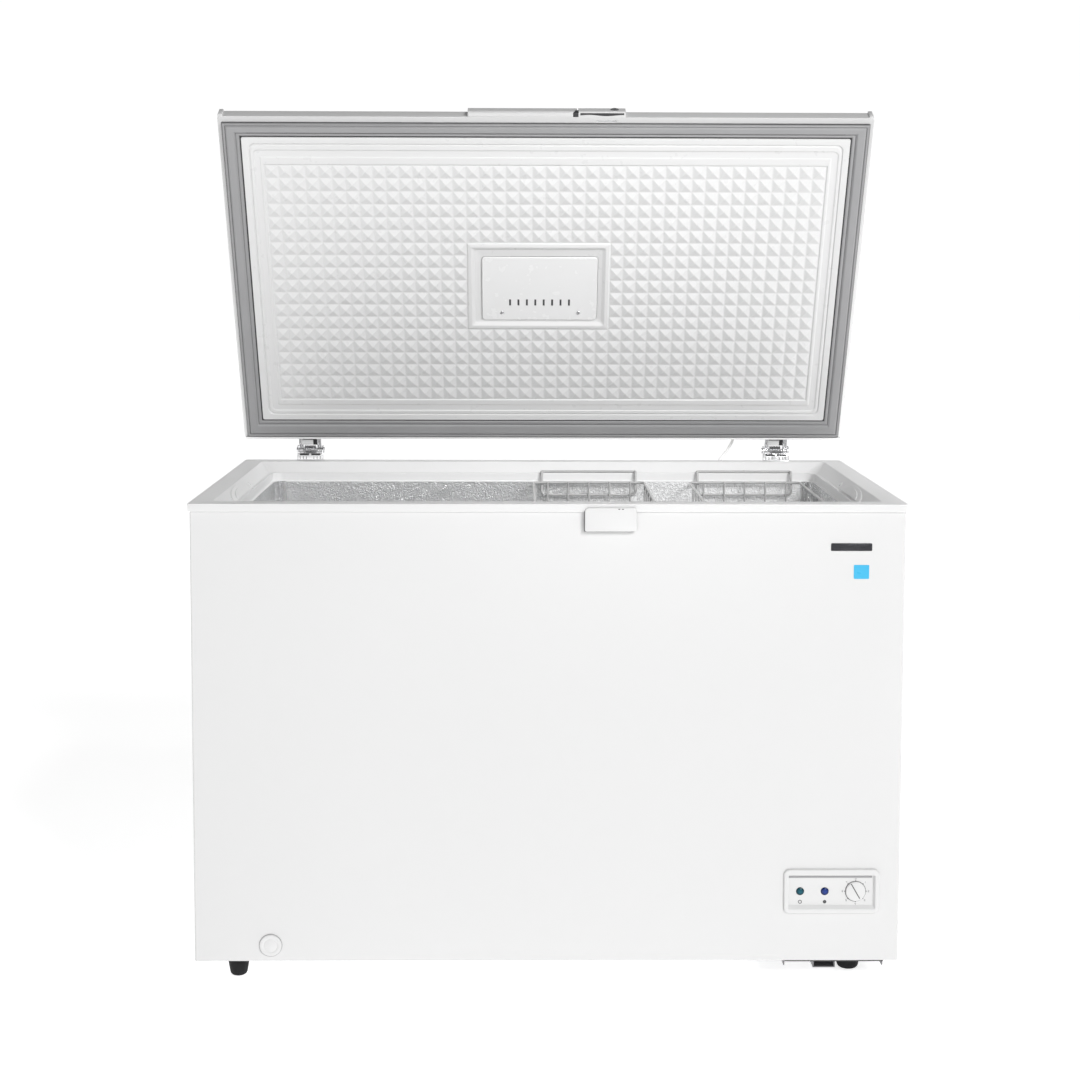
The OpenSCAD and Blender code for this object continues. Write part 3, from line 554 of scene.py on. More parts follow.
moulded("lid_plastic", grey(0.67), 0.3, 0.00003, mottle=0.004)
moulded("grey_gasket", (0.295, 0.295, 0.30), 0.5, 0.00005, 1000.0, 0.03)
moulded("magnet", (0.06, 0.055, 0.05), 0.7)
moulded("cover_plastic", grey(0.74), 0.25, 0.00002, mottle=0.004)
moulded("green_board", (0.03, 0.22, 0.10), 0.35)
# prints, painted shade in hollows and gaps, painted light, and trim that have no slot of their own in the record
# dark print, also used as painted shade behind the lamp's slots and round the strike
moulded("print_and_painted_shade", (0.06, 0.06, 0.063), 0.5, 0.00001)
moulded("bezel_plastic", grey(0.63), 0.32, mottle=0.004)
moulded("shade_plastic", (0.33, 0.33, 0.335), 0.5)
moulded("trim_plastic", grey(0.60), 0.35, mottle=0.004)
# painted light on the lid's rim flange: paler towards the hinges, darker towards the handle
fading("rim_painted_light", "Z", 0.88, 0.55, 0.82, 1.36)
# painted shade on the collar's flat top, darker towards the left
fading("flat_painted_shade", "X", 0.70, 0.84, -0.5, 0.2)
# plastic that glows faintly, a painted light in the cam's pocket
moulded("pocket_painted_glow", grey(0.85), 0.5, Emission_Color=WHITE, Emission_Strength=0.2)
painted("hinge_paint", grey(0.80))
# darker grey for the collar lip's front faces, a painted shade
moulded("lip_painted_shade", grey(0.65), 0.35, mottle=0.004)
moulded("seal_shade", (0.09, 0.09, 0.093), 0.6)
# near black that stands as painted shade in holes, slots and gaps
moulded("hollow_painted_shade", (0.035, 0.035, 0.037), 0.6)
BEVELLED = ("back_panel", "compressor_tray", "base_pan", "start_relay", "lock_cylinder")
for node_name, node in frame["nodes"].items():
    node.data.materials.clear()
    node.data.materials.append(MATERIALS[SLOT_OF[node_name]])
    if node_name in BEVELLED:
        bevel = node.modifiers.new("edge", "BEVEL")
        bevel.width = 0.0005
        bevel.segments = 2
        bevel.limit_method = "ANGLE"
        bevel.angle_limit = math.radians(50)


# --- Cabinet
def outer_wrap():
    """U-shaped sheet round the front and both sides, cut out behind the bezel."""
    shape = Shape("case_sheet")
    hole_x = (BEZEL[0] - 70.5, BEZEL[0] + 71.5)
    hole_z = (BEZEL[1] - 30.5, BEZEL[1] + 28.5)
    corner, z0, z1 = 3, CASE_Z[0], CASE_Z[1]
    back = CASE_Y[1] - 1
    front = CASE_Y[0]

    def outline(inset):
        """The bend line of the sheet, from the back left round the front to the back right."""
        x, y, r = CASE_X - inset, front + inset, corner - inset
        line = [(-x, back), (-x, 300)] + arc(-x + r, y + r, r, 180, 270, 6)
        line += [(px, y) for px in (-300, 0, *hole_x)]
        return line + arc(x - r, y + r, r, 270, 360, 6) + [(x, 300), (x, back)]

    def at(value, wanted):
        return abs(value - wanted) < 0.01

    heights = [z0, z0 + 1.2, *hole_z, 400, z1]
    grids = []
    for inset in (0, 1):
        line = outline(inset)
        grid = [shape.add(xy(line, z), []) for z in heights]
        for j, (a, b) in enumerate(zip(grid, grid[1:])):
            for k in range(len(line) - 1):
                in_hole = j == 2 and at(line[k][0], hole_x[0]) and at(line[k + 1][0], hole_x[1])
                if not in_hole:
                    shape.faces.append((a[k], a[k + 1], b[k + 1], b[k]))
        grids.append(grid)
    outer, grid = grids
    # sheet's edges at the bottom and top, then at both backs
    for j in (0, -1):
        for k in range(len(line) - 1):
            shape.faces.append((outer[j][k], outer[j][k + 1], grid[j][k + 1], grid[j][k]))
    for k in (0, -1):
        for a, b, c, d in zip(outer, outer[1:], grid, grid[1:]):
            shape.faces.append((a[k], b[k], d[k], c[k]))
    shape.place("cabinet", "outer_wrap")


def collar():
    """Plastic frame of the mouth: lip, flat top, slope, ledge and skirt."""
    shape = Shape("collar_frame")
    # half width, distance back, height and corner radius, from the lip to the skirt
    section = (
        (555.6, 3.4, 754, 4), (555.6, 3.4, 751, 4), (559, 0, 751, 5), (559, 0, MOUTH, 5),
        (524, 35, MOUTH, 9), (507, 54, 745, 24), (501, 60, 745, 20), (501, 60, 731, 20),
        (497.2, 63.2, 730, 20), (497.2, 63.2, 728.5, 20),
    )
    rows = [(-x, x, y0, DEPTH - y0, z, r) for x, y0, z, r in section]
    rows = softened(rows, [0, 0.4, 1.2, 1.6, 1.6, 2.2, 1.6, 1.0, 0.6, 0])
    shape.levels(rows, n=8)
    # moulded arch on each side slope, a domed pin at its rear end and a pad on the ledge
    for side in (-1, 1):
        for reach, lift in ((1.0, 2.0), (0.70, 3.8)):
            slope_arch(shape, side, 235, 88 * reach, 20 * reach, lift)
        shape.tube([(side * 513.5, 352, 751), (side * 512.3, 352, 752.3)], 4.2, 20)
        shape.block(sorted((side * 501.6, side * 506)), (330, 440), (744.6, 745.8), 0.3)
    mouth = shape.place("cabinet", "top_collar")
    # the lip's front-facing faces get a darker grey, a painted shade
    paint_faces(mouth, "lip_painted_shade", lambda normal, middle: normal.y < -0.9 and middle.y < -0.345)
    # the collar's flat top gets the painted shade, darker towards the left
    paint_faces(mouth, "flat_painted_shade", lambda normal, middle: normal.z > 0.97 and middle.z > 0.7625)


def slope_arch(shape, side, middle, half, rise, lift):
    """Half-round plate standing proud of a side slope of the collar, its flat edge at the slope's foot."""
    run, drop = 17 / 24.76, 18 / 24.76

    def ring(scale, proud):
        points = []
        for along, up in arc(0, 0, scale, 0, 180, 24):
            up = 1.2 + rise * up
            x, z = 507 + up * run - proud * drop, 745 + up * drop + proud * run
            points.append((side * x, middle + half * along, z))
        return points

    shape.loops([ring(1.0, -0.3), ring(1.0, lift * 0.7), ring(0.97, lift)], caps=(False, True))


def tub():
    """Embossed liner: deep at the left, with the compressor step at the right."""
    shape = Shape("tub_liner")
    x0, x1, y0, y1, step = -497, 497, 63, 567, 250
    floor, shelf, top, r = 95, 300, 729.8, 22
    n = 8
    drain = (DRAIN[0], 110)
    base = rounded_rect(x0 + 8, step - 8, y0 + 8, y1 - 8, r - 6, n)
    hole = []
    for x, y in base:
        a = math.atan2(y - drain[1], x - drain[0])
        hole.append((drain[0] + 9 * math.cos(a), drain[1] + 9 * math.sin(a)))
    loops = [xy(hole, floor - 6), xy(hole, floor), xy(base, floor)]
    for inset, rise in ((5, 0.8), (2.4, 2.4), (0.8, 5), (0, 8)):
        level = drawn_in((x0, step, y0, y1), inset, floor + rise, r - inset * 0.75)
        loops.append(xy(rounded_rect(*level[:4], level[5], n), level[4]))
    sides = [(step, shelf - 8), (step, shelf - 6), (step + 1.7, shelf - 1.8), (step + 6, shelf)]
    sides += [(x1 - 6, shelf), (x1 - 1.7, shelf + 1.8), (x1, shelf + 6), (x1, top)]
    loops += [xy(rounded_rect(x0, right, y0, y1, r, n), z) for right, z in sides]
    shape.loops(loops)
    shape.place("cabinet", "inner_liner")


def basket(side, middle):
    """Coated wire basket: rim, belt, long wires and ribs with bent feet, and two hanging loops."""
    shape = Shape(f"basket_{side}_wires")
    half, y0, y1 = 102, 75, 555
    top, bottom = 729, 529
    x0, x1 = middle - half, middle + half

    def ring(z, r, reach):
        corners = [(x0, y0, z), (x1, y0, z), (x1, y1, z), (x0, y1, z)]
        shape.tube(softened(corners, reach, 5, closed=True), r, 12, closed=True)

    ring(top, 2.5, 14)
    ring((top + bottom) / 2, 1.75, 12)
    high = top + 1.5
    for dx in (-76, -38, 0, 38, 76):
        x, near, far = middle + dx, y0 + 2.6, y1 - 2.6
        path = [(x, near, high), (x, near, bottom), (x, far, bottom), (x, far, high)]
        shape.tube(softened(path, 14, 5), 1.75)
    for k in range(1, 9):
        y = y0 + k * (y1 - y0) / 9
        left, right, low = x0 + 2.6, x1 - 2.6, bottom + 3.2
        path = [(left, y, high), (left, y, low), (right, y, low), (right, y, high)]
        shape.tube(softened(path, 14, 5), 1.75)
    for wall, ledge_y, out in ((y1, 573, 1), (y0, 57, -1)):
        foot_y = wall + out * 1.4
        inner = ledge_y - out * 8.5
        a, b = middle - 86.5, middle + 86.5
        loop = [
            (a, inner, 747.6), (a, ledge_y, 747.6), (b, ledge_y, 747.6), (b, inner, 747.6),
            (b, foot_y, 706), (a, foot_y, 706),
        ]
        shape.tube(softened(loop, [3.5, 3, 3, 3.5, 9, 9], 5, closed=True), 2.25, 12, closed=True)
    shape.place(f"basket_{side}", f"basket_{side}", sharp=50)


# --- Lid
def lid_row(inset, rise, r, front=0.0, back=0.0):
    """A level of the lid, rise above its rim and inset from its outside."""
    y0, y1 = LID_Y[0] + inset + front, LID_Y[1] - inset - back
    return (-LID_X + inset, LID_X - inset, y0, y1, RIM_Z + rise, r)


def lid_skin():
    """Painted pan of the lid: rim flange, upright edge and drawn-in crown."""
    shape = Shape("lid_pan")
    rows = [
        lid_row(7.3, 1, 3, 3.7, -4),
        lid_row(7.3, 0, 3, 3.7, -4),
        lid_row(7.1, 0, 3, 2.3, -4),
        lid_row(5.0, 0, 4, 0.8),
        lid_row(0, 0, 5),
        lid_row(0, 27, 5),
        lid_row(25, 62, 22),
        lid_row(60, 62, 22),
    ]
    # the lock's cam swings down through a gap in the front flange
    gap, n = (86, 122), 8
    loops = []
    for row in softened(rows, [0, 0.3, 0, 0, 1.6, 9, 16, 0], 5):
        loop = rounded_rect(*row[:4], row[5], n)
        front = loop[3 * n + 2][1]
        loop[3 * n + 3:3 * n + 3] = [(x, front) for x in gap]
        loops.append(xy(loop, row[4]))
    shape.loops(loops, caps=(False, True))
    shape.faces = [face for face in shape.faces if not in_flange(shape, face, gap)]
    # folded ears at the two front corners
    for s in (-1, 1):
        x = sorted((s * (LID_X - 8.5), s * (LID_X - 0.6)))
        shape.block(x, (LID_Y[0] - 3.2, LID_Y[0] + 3), (RIM_Z + 0.6, RIM_Z + 26), 1.6)
    # rolled bead along the edge over the hinges
    shape.block((-LID_X + 3, LID_X - 3), (LID_Y[1] - 4.8, LID_Y[1] - 0.4), (RIM_Z - 5, RIM_Z + 0.4), 1.0)
    pan = shape.place("lid", "lid_skin")
    under = LID_TO_ROW.to_3x3() @ Vector((0, 0, -1))
    # the flange faces that face down when the lid is shut get the rim's painted light
    paint_faces(pan, "rim_painted_light", lambda normal, middle: normal.angle(under) < 0.5)


def in_flange(shape, face, gap):
    """True for the face of the front flange between the two ends of the gap."""
    x, y, z = (sum(shape.points[i][axis] for i in face) / len(face) for axis in range(3))
    return gap[0] < x < gap[1] and -5 < y < -1.8 and z < RIM_Z + 0.5 and len(face) == 4


def lid_core():
    """Foamed filling under the crown of the lid."""
    shape = Shape("lid_core_block")
    rows = [
        lid_row(9, 2, 4, 5),
        lid_row(3, 4, 4, 11),
        lid_row(3, 21, 4, 11),
        lid_row(3, 22, 5),
        lid_row(3, 25.5, 5),
        lid_row(27, 58.5, 20),
        lid_row(62, 59, 20),
    ]
    rows = softened(rows, [0, 1, 0, 0, 3, 16, 0], 4)
    shape.levels(rows, n=8, caps=(True, True))
    shape.place("lid", "lid_foam")


def lid_panel():
    """Inner panel: edge, flat band, groove, steps and the quilted field round the lamp."""
    face = 764.2
    field = face + 2.4
    shape = Shape("lid_inner_panel")
    rims = (
        (-6, RIM_Z + 1, 3), (-6, RIM_Z - 0.2, 3), (0, RIM_Z - 0.2, 3), (0, face, 3), (11, face, 11),
        (12.2, face + 2.4, 12), (14.8, face + 0.6, 13),
    )
    edge = [drawn_in((-524.5, 524.5, 24.5, 589.5), *rim) for rim in rims]
    shape.levels(softened(edge, [0, 0.4, 0.4, 1.6, 0.8, 1.0, 0]), n=8)
    inner = [
        edge[-1],
        (-507, 507, 47, 570, face + 0.6, 10),
        (-505, 505, 49, 568.5, face + 1.9, 8),
        (-495, 495, 60, 558, face + 1.9, 3),
        (-493, 493, 62, 556, face + 0.9, 2),
        (-489.5, 489.5, 74, 547.2, face + 0.9, 0.5),
        (-FIELD_X, FIELD_X, FIELD_Y[0], FIELD_Y[1], field, 0.05),
    ]
    shape.levels(softened(inner, [0, 0.8, 0.8, 0.8, 0.8, 0.5, 0]), n=8)
    dx, dy = CELL
    peak = face - 0.6
    gap = 0.9
    around = ((-1, -1), (1, -1), (1, 1), (-1, 1))
    left, right, front, back = LAMP_CELLS
    for i in range(CELLS[0]):
        for j in range(CELLS[1]):
            if left <= i < right and front <= j < back:
                continue
            x, y = -FIELD_X + i * dx, FIELD_Y[0] + j * dy
            outer = [(x, y), (x + dx, y), (x + dx, y + dy), (x, y + dy)]
            cx, cy = x + dx / 2, y + dy / 2
            base = [(cx + u * (dx / 2 - gap), cy + v * (dy / 2 - gap)) for u, v in around]
            tip = [(cx + u * 1.3, cy + v * 1.3) for u, v in around]
            shape.loops([xy(outer, field), xy(base, field), xy(tip, peak)], caps=(False, True))
    shape.place("lid", "lid_panel", sharp=14)


def lamp_frame():
    """Bevelled surround that stands in the quilted field and holds the lamp cover."""
    x0, x1 = (-FIELD_X + column * CELL[0] for column in LAMP_CELLS[:2])
    y0, y1 = (FIELD_Y[0] + row * CELL[1] for row in LAMP_CELLS[2:])
    shape = Shape("lamp_surround")
    rims = ((0, 766.6, 0.05), (2, 764.4, 1), (8, 763.6, 3), (14, 767.5, 5))
    rows = [drawn_in((x0, x1, y0, y1), *rim) for rim in rims]
    rows += [(-113.8, 94.8, 251.2, 378.8, z, 7) for z in (768.5, 773)]
    shape.levels(softened(rows, [0, 1, 2, 1, 0.4, 0], 4), n=6, caps=(False, True))
    shape.place("lid", "lamp_housing")


def lamp_cover():
    """Lamp cover with rounded corners and eight slots, which show dark blocks behind them, a painted shade."""
    shape = Shape("lamp_lens")
    x0, x1, y0, y1 = -113, 94, 252, 378
    front, back = 765.2, 769
    slots = [(-64.5 + 15.2 * k, -61 + 15.2 * k) for k in range(8)]
    sy = (336, 349)
    rims = ((0, back, 6), (0, front + 1, 6), (1.2, front, 5), (7, front, 0.3))
    shape.levels([drawn_in((x0, x1, y0, y1), *rim) for rim in rims], n=6, caps=(True, False))
    cuts_x = [x0 + 7] + [v for slot in slots for v in slot] + [x1 - 7]
    cuts_y = [y0 + 7, *sy, y1 - 7]
    slotted_face(shape, cuts_x, cuts_y, xy, front, front + 2)
    shape.place("lid", "lamp_cover")
    # dark blocks behind the slots, a painted shade
    dark = Shape("lamp_slot_shade")
    for a, b in slots:
        dark.block((a - 0.3, b + 0.3), (sy[0] - 0.3, sy[1] + 0.3), (front + 1.6, front + 2.6), 0.2)
    dark.place("lid", slot="print_and_painted_shade")


def seal_row(inset, drop):
    """A line round the gasket, mitred: how far in from its outside, and how far below the lid's rim."""
    s = inset / 31.6
    return (-556 + s * 31, 556 - s * 31, 0.2 + s * 23.7, 628.5 - s * 38.3, RIM_Z - drop, 0.05)


def gasket():
    """Magnetic gasket: outer lip, flat magnet face, bellows and inner lip, mitred at the corners."""
    shape = Shape("lid_seal")
    # distance in from the gasket's outside, and how far it hangs below the rim
    section = [
        (0.4, 0.0), (0.0, 3.0), (0.6, 6.0), (2.2, 7.6), (4.2, 7.2), (5.0, 6.2), (6.2, 6.4), (7.4, 8.6),
        (9.0, 9.4), (19.0, 9.5), (21.0, 9.0), (22.4, 7.6), (23.6, 6.4), (25.0, 6.6), (26.4, 7.6), (28.6, 7.8),
        (30.2, 6.6), (30.9, 4.0), (30.9, 0.0),
    ]
    shape.levels([seal_row(inset * 0.975, drop) for inset, drop in softened(section, 0.8, 2)], n=1)
    shape.place("lid", "lid_gasket", sharp=40)
    # dark band round the seal's outside, a painted shade
    edge = Shape("seal_edge_shade")
    edge.levels([(-556.9, 556.9, -0.6, 629.4, RIM_Z + rise, 1) for rise in (0.2, -2.6)], n=4)
    # dark strips in the bottoms of the two grooves in the seal's face, a painted shade
    for near, far, drop in ((4.6, 5.6, 6.5), (22.6, 23.6, 6.7)):
        edge.levels([seal_row(near, drop), seal_row(far, drop)], n=1)
    edge.place("lid", slot="seal_shade")
    # dark ring between the seal's inner lip and the panel, a painted shade in the gap
    gap = Shape("seal_gap_shade")
    gap.levels([(-528, 528, 21, 593, 767, 3), (-524.2, 524.2, 24.8, 589.2, 767, 3)], n=4)
    gap.place("lid", slot="hollow_painted_shade")


def grip_section(*reach):
    """YZ section of the handle and the lock's housing; reach is the rounding of its three outer edges."""
    y0 = LID_Y[0]
    corners = [(0.5, 0), (-8.6, 0), (-10, 3), (-7, 25), (0.5, 25)]
    return softened([(y0 + y, RIM_Z + z) for y, z in corners], [0, *reach, 0], 4)


def handle():
    """Grip bar with a bordered underside, a slanted right end and a dark block beside the lock, a painted shade in
    the notch there.
    """
    shape = Shape("handle_grip")
    y0 = LID_Y[0]
    x0, x1 = -135, 53
    section = grip_section(1.2, 2, 3)
    left = [(x0, y, z) for y, z in section]
    right = [(x1 - 7.5 * (1 - min(max((z - RIM_Z) / 14, 0), 1)), y, z) for y, z in section]
    shape.loops([left, right], caps=(True, True))
    # raised border of the grip's underside
    for end, near, far in ((x0 + 4, 8.2, 1), (x1 - 9, 2.2, 0.8), (x1 - 9, 9.0, 7.9)):
        shape.block((x0 + 1, end), (y0 - near, y0 - far), (RIM_Z - 0.6, RIM_Z + 1), 0.3)
    shape.place("lid", "lid_handle", look="trim_plastic")
    # dark block in the notch beside the lock, a painted shade
    x, y, z = (x1 - 8, x1 + 1.9), (y0 - 7.5, y0 - 0.2), (RIM_Z + 0.3, RIM_Z + 13.5)
    one_block("handle_notch_shade", "lid", x, y, z, 0.2, slot="hollow_painted_shade")


def lock():
    """Housing of the key lock, with a dark block in its keyhole and a dark slot that the catch enters, both
    painted shade.
    """
    y0 = LID_Y[0]
    shape = Shape("lock_case")
    section = grip_section(1.0, 1.5, 2)
    shape.loops([[(x, y, z) for y, z in section] for x in (55, 136)], caps=(True, True))
    shape.place("lid", "lock_housing", look="trim_plastic")
    # mouth of the catch on the underside: a dark sheet with a wavy edge, a painted shade in the slot
    mouth = Shape("catch_mouth_shade")
    near = [(58 + 3 * k, y0 - 7.6) for k in range(26)]
    far = [(x, y0 - 3.4 - 1.1 * math.sin((x - 58) / 9.5)) for x, _ in reversed(near)]
    mouth.loops([xy(near + far, RIM_Z - 0.25), xy(near + far, RIM_Z + 0.4)], caps=(True, True))
    mouth.place("lid", slot="hollow_painted_shade")
    # pocket behind the cam's gap in the flange, with a faint painted glow
    pocket = Shape("cam_pocket")
    rows = [(85, 123.5, y0 + 2.5, -0.8, RIM_Z + rise, 1) for rise in (0.3, 20)]
    pocket.levels(rows, n=3, caps=(False, True))
    pocket.place("lid", slot="cover_plastic", look="pocket_painted_glow")
    # dark block in the keyhole, a painted shade
    one_block("keyway_shade", "lock", (112.5, 121.5), (y0 - 10.4, y0 - 8), (782, 784.4), 0.3, slot="hollow_painted_shade")


def lid_lead():
    """Thin lead from the grommet in the cabinet's back up into the lid."""
    x, z = LEAD
    route = [
        (x, 627, z), (x, 644, 746), (328, 653, 750), (333, 662, 756), (339, 668, 763), (346, 670, 771),
        (352, 670, 780), (357, 668, 789), (360, 664, 797), (361, 658.5, 808),
    ]
    route = softened(route, 5, 4)
    shape = Shape("lamp_lead_cable")
    shape.tube(route, 3, 14)
    obj = shape.place(None, "lamp_lead")
    path = [TO_ROW @ Vector(point) for point in route]
    length = sum((b - a).length for a, b in zip(path, path[1:]))
    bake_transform(obj)
    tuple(path[0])


# --- Hinges and back
def hinge(side, name):
    """Counterbalance hinge: bracket with two ears, pin, wound spring with legs, and the lid's leaf."""
    x0 = side * HINGE_X
    py, pz = PIVOT.y, PIVOT.z
    half = 24.75

    bracket = Shape(f"hinge_bracket_{name}_sheet")
    bracket.block((x0 - half, x0 + half), (626.5, 629), (688, 750), 0.8)
    bracket.block((x0 - half + 1, x0 + half - 1), (653, 655), (713, 772.5), 0.6)
    ear = [(627, 713), (670, 713), (673.4, 720)] + arc(663.4, pz, 10, 0, 180, 12)
    ear += [(653.4, 754), (650, 750), (627, 750)]
    for x in (x0 - half, x0 + half - 2.5):
        bracket.loops(
            [
                [(x + dx, y + (650 - y) * shrink, z + (745 - z) * shrink) for y, z in ear]
                for dx, shrink in ((0, 0.012), (0.5, 0), (2, 0), (2.5, 0.012))
            ],
            caps=(True, True),
        )
    bracket.place("cabinet", f"hinge_bracket_{name}")
    # dark slots and marks on the bracket's face, a painted shade
    slots = Shape(f"hinge_slot_shade_{name}")
    for a, b in ((-19.5, -2), (2, 19.5)):
        slots.block((x0 + a, x0 + b), (652.7, 653.2), (768.2, 771.8), 0.2)
    for dx in (-19, -13, -7, 7, 13, 19):
        slots.block((x0 + dx - 0.5, x0 + dx + 0.5), (652.7, 653.2), (761, 766.5), 0.2)
    slots.place("cabinet", slot="hollow_painted_shade")

    profile = [(0.05, -26.75), (5.2, -26.75), (6, -26), (6, -24.75), (4, -24.75)]
    profile += [(r, -h) for r, h in reversed(profile)]
    one_turned(f"hinge_pin_{name}_rod", "cabinet", f"hinge_pin_{name}", profile, (x0, py, pz), "X", 36)

    spring = Shape(f"hinge_spring_{name}_coil")
    run, coil, steps = 21.4, 8.2, 7 * 24
    left, right = x0 - run / 2, x0 + run / 2
    path = [(left, py - coil, pz - 19), (left, py - coil, pz - 6)]
    for k, (y, z) in enumerate(arc(py, pz, coil, 180, 180 - 7 * 360, steps)):
        path.append((left + run * k / steps, y, z))
    path += [(right, py - coil, pz - 6), (right, py - coil, pz - 19)]
    spring.tube(path, 1.3, 10)
    spring.place("cabinet", f"hinge_spring_{name}", sharp=60)

    leaf = Shape(f"hinge_leaf_{name}_sheet")
    leaf.block((x0 - 21, x0 + 21), (635, 637), (774, 815), 0.7)
    x, y, z = (x0 - 16.5, x0 + 6), (640, 651), (pz - 2.8, pz - 1)
    one_block(f"hinge_plate_{name}", "lid", x, y, z, 0.6, slot="bright_steel", look="hinge_paint")
    for x in (x0 - 21, x0 + 18.6):
        leaf.block((x, x + 2.4), (636, 652), (pz - 2.8, pz + 1.2), 0.5)
    # dark band between the leaf's cheeks at the pin, a painted shade
    x, y, z = (x0 - 19.4, x0 + 19.4), (636.5, 652), (pz - 1.2, pz + 1)
    one_block(f"hinge_web_shade_{name}", "lid", x, y, z, 0.4, slot="hollow_painted_shade")
    for x in (x0 - 21, x0 + 13):
        leaf.block((x, x + 8), (636, py - 5), (pz - 1.5, pz + 1.5), 0.5)
        knuckle = [(4.1, 0), (6.2, 0), (7, 0.7), (7, 7.3), (6.2, 8), (4.1, 8)]
        leaf.turned(knuckle, (x, py, pz), "X", 36, caps=(False, False))
    leaf.place("lid", f"hinge_leaf_{name}")


def screw_head(shape, centre, r, h, put):
    """Domed screw head with a cross recess; put turns (u, out, v) into a place round the centre."""
    n = 48
    arm, width = 0.58 * r, 0.15 * r
    around = circle(0, 0, 1, n)

    def cross(x, y):
        c, s = abs(x) + 1e-6, abs(y) + 1e-6
        return max(min(arm / c, width / s), min(width / c, arm / s))

    recess = [cross(*spot) for spot in around]
    rings = [([r] * n, 0), ([r] * n, 0.3 * h), ([0.9 * r] * n, 0.72 * h), ([0.7 * r] * n, h)]
    rings += [(recess, h), ([0.9 * reach for reach in recess], 0.35 * h)]
    loops = []
    for radii, out in rings:
        spots = [put(a * u, out, a * v) for a, (u, v) in zip(radii, around)]
        loops.append([tuple(c + d for c, d in zip(centre, spot)) for spot in spots])
    shape.loops(loops, caps=(False, True))


def upright(u, out, v):
    return (u, out, v)


def screw_heads(name, body, node, centres, r=4, h=2, put=upright):
    shape = Shape(name)
    for centre in centres:
        screw_head(shape, centre, r, h, put)
    shape.place(body, node)


def back_screws():
    """Heads of the screws on the cabinet's back, the hinge leaves and the lamp cover."""
    hinges = (-HINGE_X, HINGE_X)
    places = [(x0 + dx, 629, z) for x0 in hinges for dx in (-14, 14) for z in (701, 733)]
    places += [(x, 628.5, z) for x in (341, 543.5) for z in (52, 222)]
    screw_heads("cabinet_screw_heads", "cabinet", "cabinet_screws", places)
    places = [(x0 + dx, 637, RIM_Z + 30) for x0 in hinges for dx in (-12, 12)]
    screw_heads("leaf_screw_heads", "lid", "leaf_screws", places)
    places = [(x, 363, 765.3) for x in (-77.3, 60.6)]
    screw_heads("lamp_screw_heads", "lid", "lamp_screws", places, 3.6, 1.3, lambda u, out, v: (u, v, -out))


def louvred_plate(name, node, u, v, slot_u, slots_v, put):
    """Pressed plate with a row of slots, each under its own hood; put turns (u, out, v) into a place."""
    thick, rim = 2, 5
    shape = Shape(name)
    rims = ((0, 0, 4), (0, thick - 0.6, 4), (0.6, thick, 3.4), (rim, thick, 0.05))
    shape.levels([drawn_in((*u, *v), *row) for row in rims], n=5, upright=True)
    cuts_u = [u[0] + rim, *slot_u, u[1] - rim]
    cuts_v = [v[0] + rim] + [edge for slot in slots_v for edge in slot] + [v[1] - rim]
    slotted_face(shape, cuts_u, cuts_v, xz, thick, 0)
    for low, high in slots_v:
        middle = (low + high) / 2
        hood = [
            (slot_u[0] - 1.5, slot_u[1] + 1.5, middle, high + 4, thick - 0.2, 2),
            (slot_u[0] - 1, slot_u[1] + 1, middle, high + 2.5, thick + 1.6, 2),
            (slot_u[0] + 0.5, slot_u[1] - 0.5, middle, high + 0.5, thick + 2.4, 1.5),
        ]
        shape.levels(hood, n=4, caps=(False, True), upright=True)
    shape.points = [put(*point) for point in shape.points]
    shape.place("cabinet", node)


def back_plates():
    """Rear cover of the compressor room, side grille, cord inlet and the lead's grommet."""
    slots = [(80 + 16 * k, 86 + 16 * k) for k in range(8)]
    louvred_plate(
        "rear_cover_plate", "compressor_cover", (333, 551.5), (44, 230), (369, 459), slots,
        lambda u, out, v: (u, CASE_Y[1] + out, v),
    )
    slots = [(86 + 12 * k, 91 + 12 * k) for k in range(9)]
    louvred_plate(
        "side_grille_plate", "side_vent", (330, 560), (70, 200), (352, 538), slots,
        lambda u, out, v: (CASE_X + out, u, v),
    )
    profile = [(4, 24), (8.9, 24), (8.9, 28.4), (11.2, 28.5), (12, 29.2), (12, 31), (10.6, 32.2), (6, 32.5)]
    bored("cord_inlet_gland", "cord_gland", profile + [(4.6, 32), (4, 31)], (520, 600, 96), 48)
    profile = [(3.1, 26), (5, 26), (5, 26.5), (6.6, 26.6), (7, 27.2), (7, 28.4), (6.2, 29.3), (4, 29.5)]
    bored("lead_inlet_grommet", "lead_grommet", profile + [(3.1, 29)], (LEAD[0], 600, LEAD[1]), 40)


def bored(name, node, profile, centre, n):
    """Turned piece with a bore through it, whose profile runs back to its own start."""
    one_turned(name, "cabinet", node, profile + profile[:1], centre, "Y", n, (False, False))


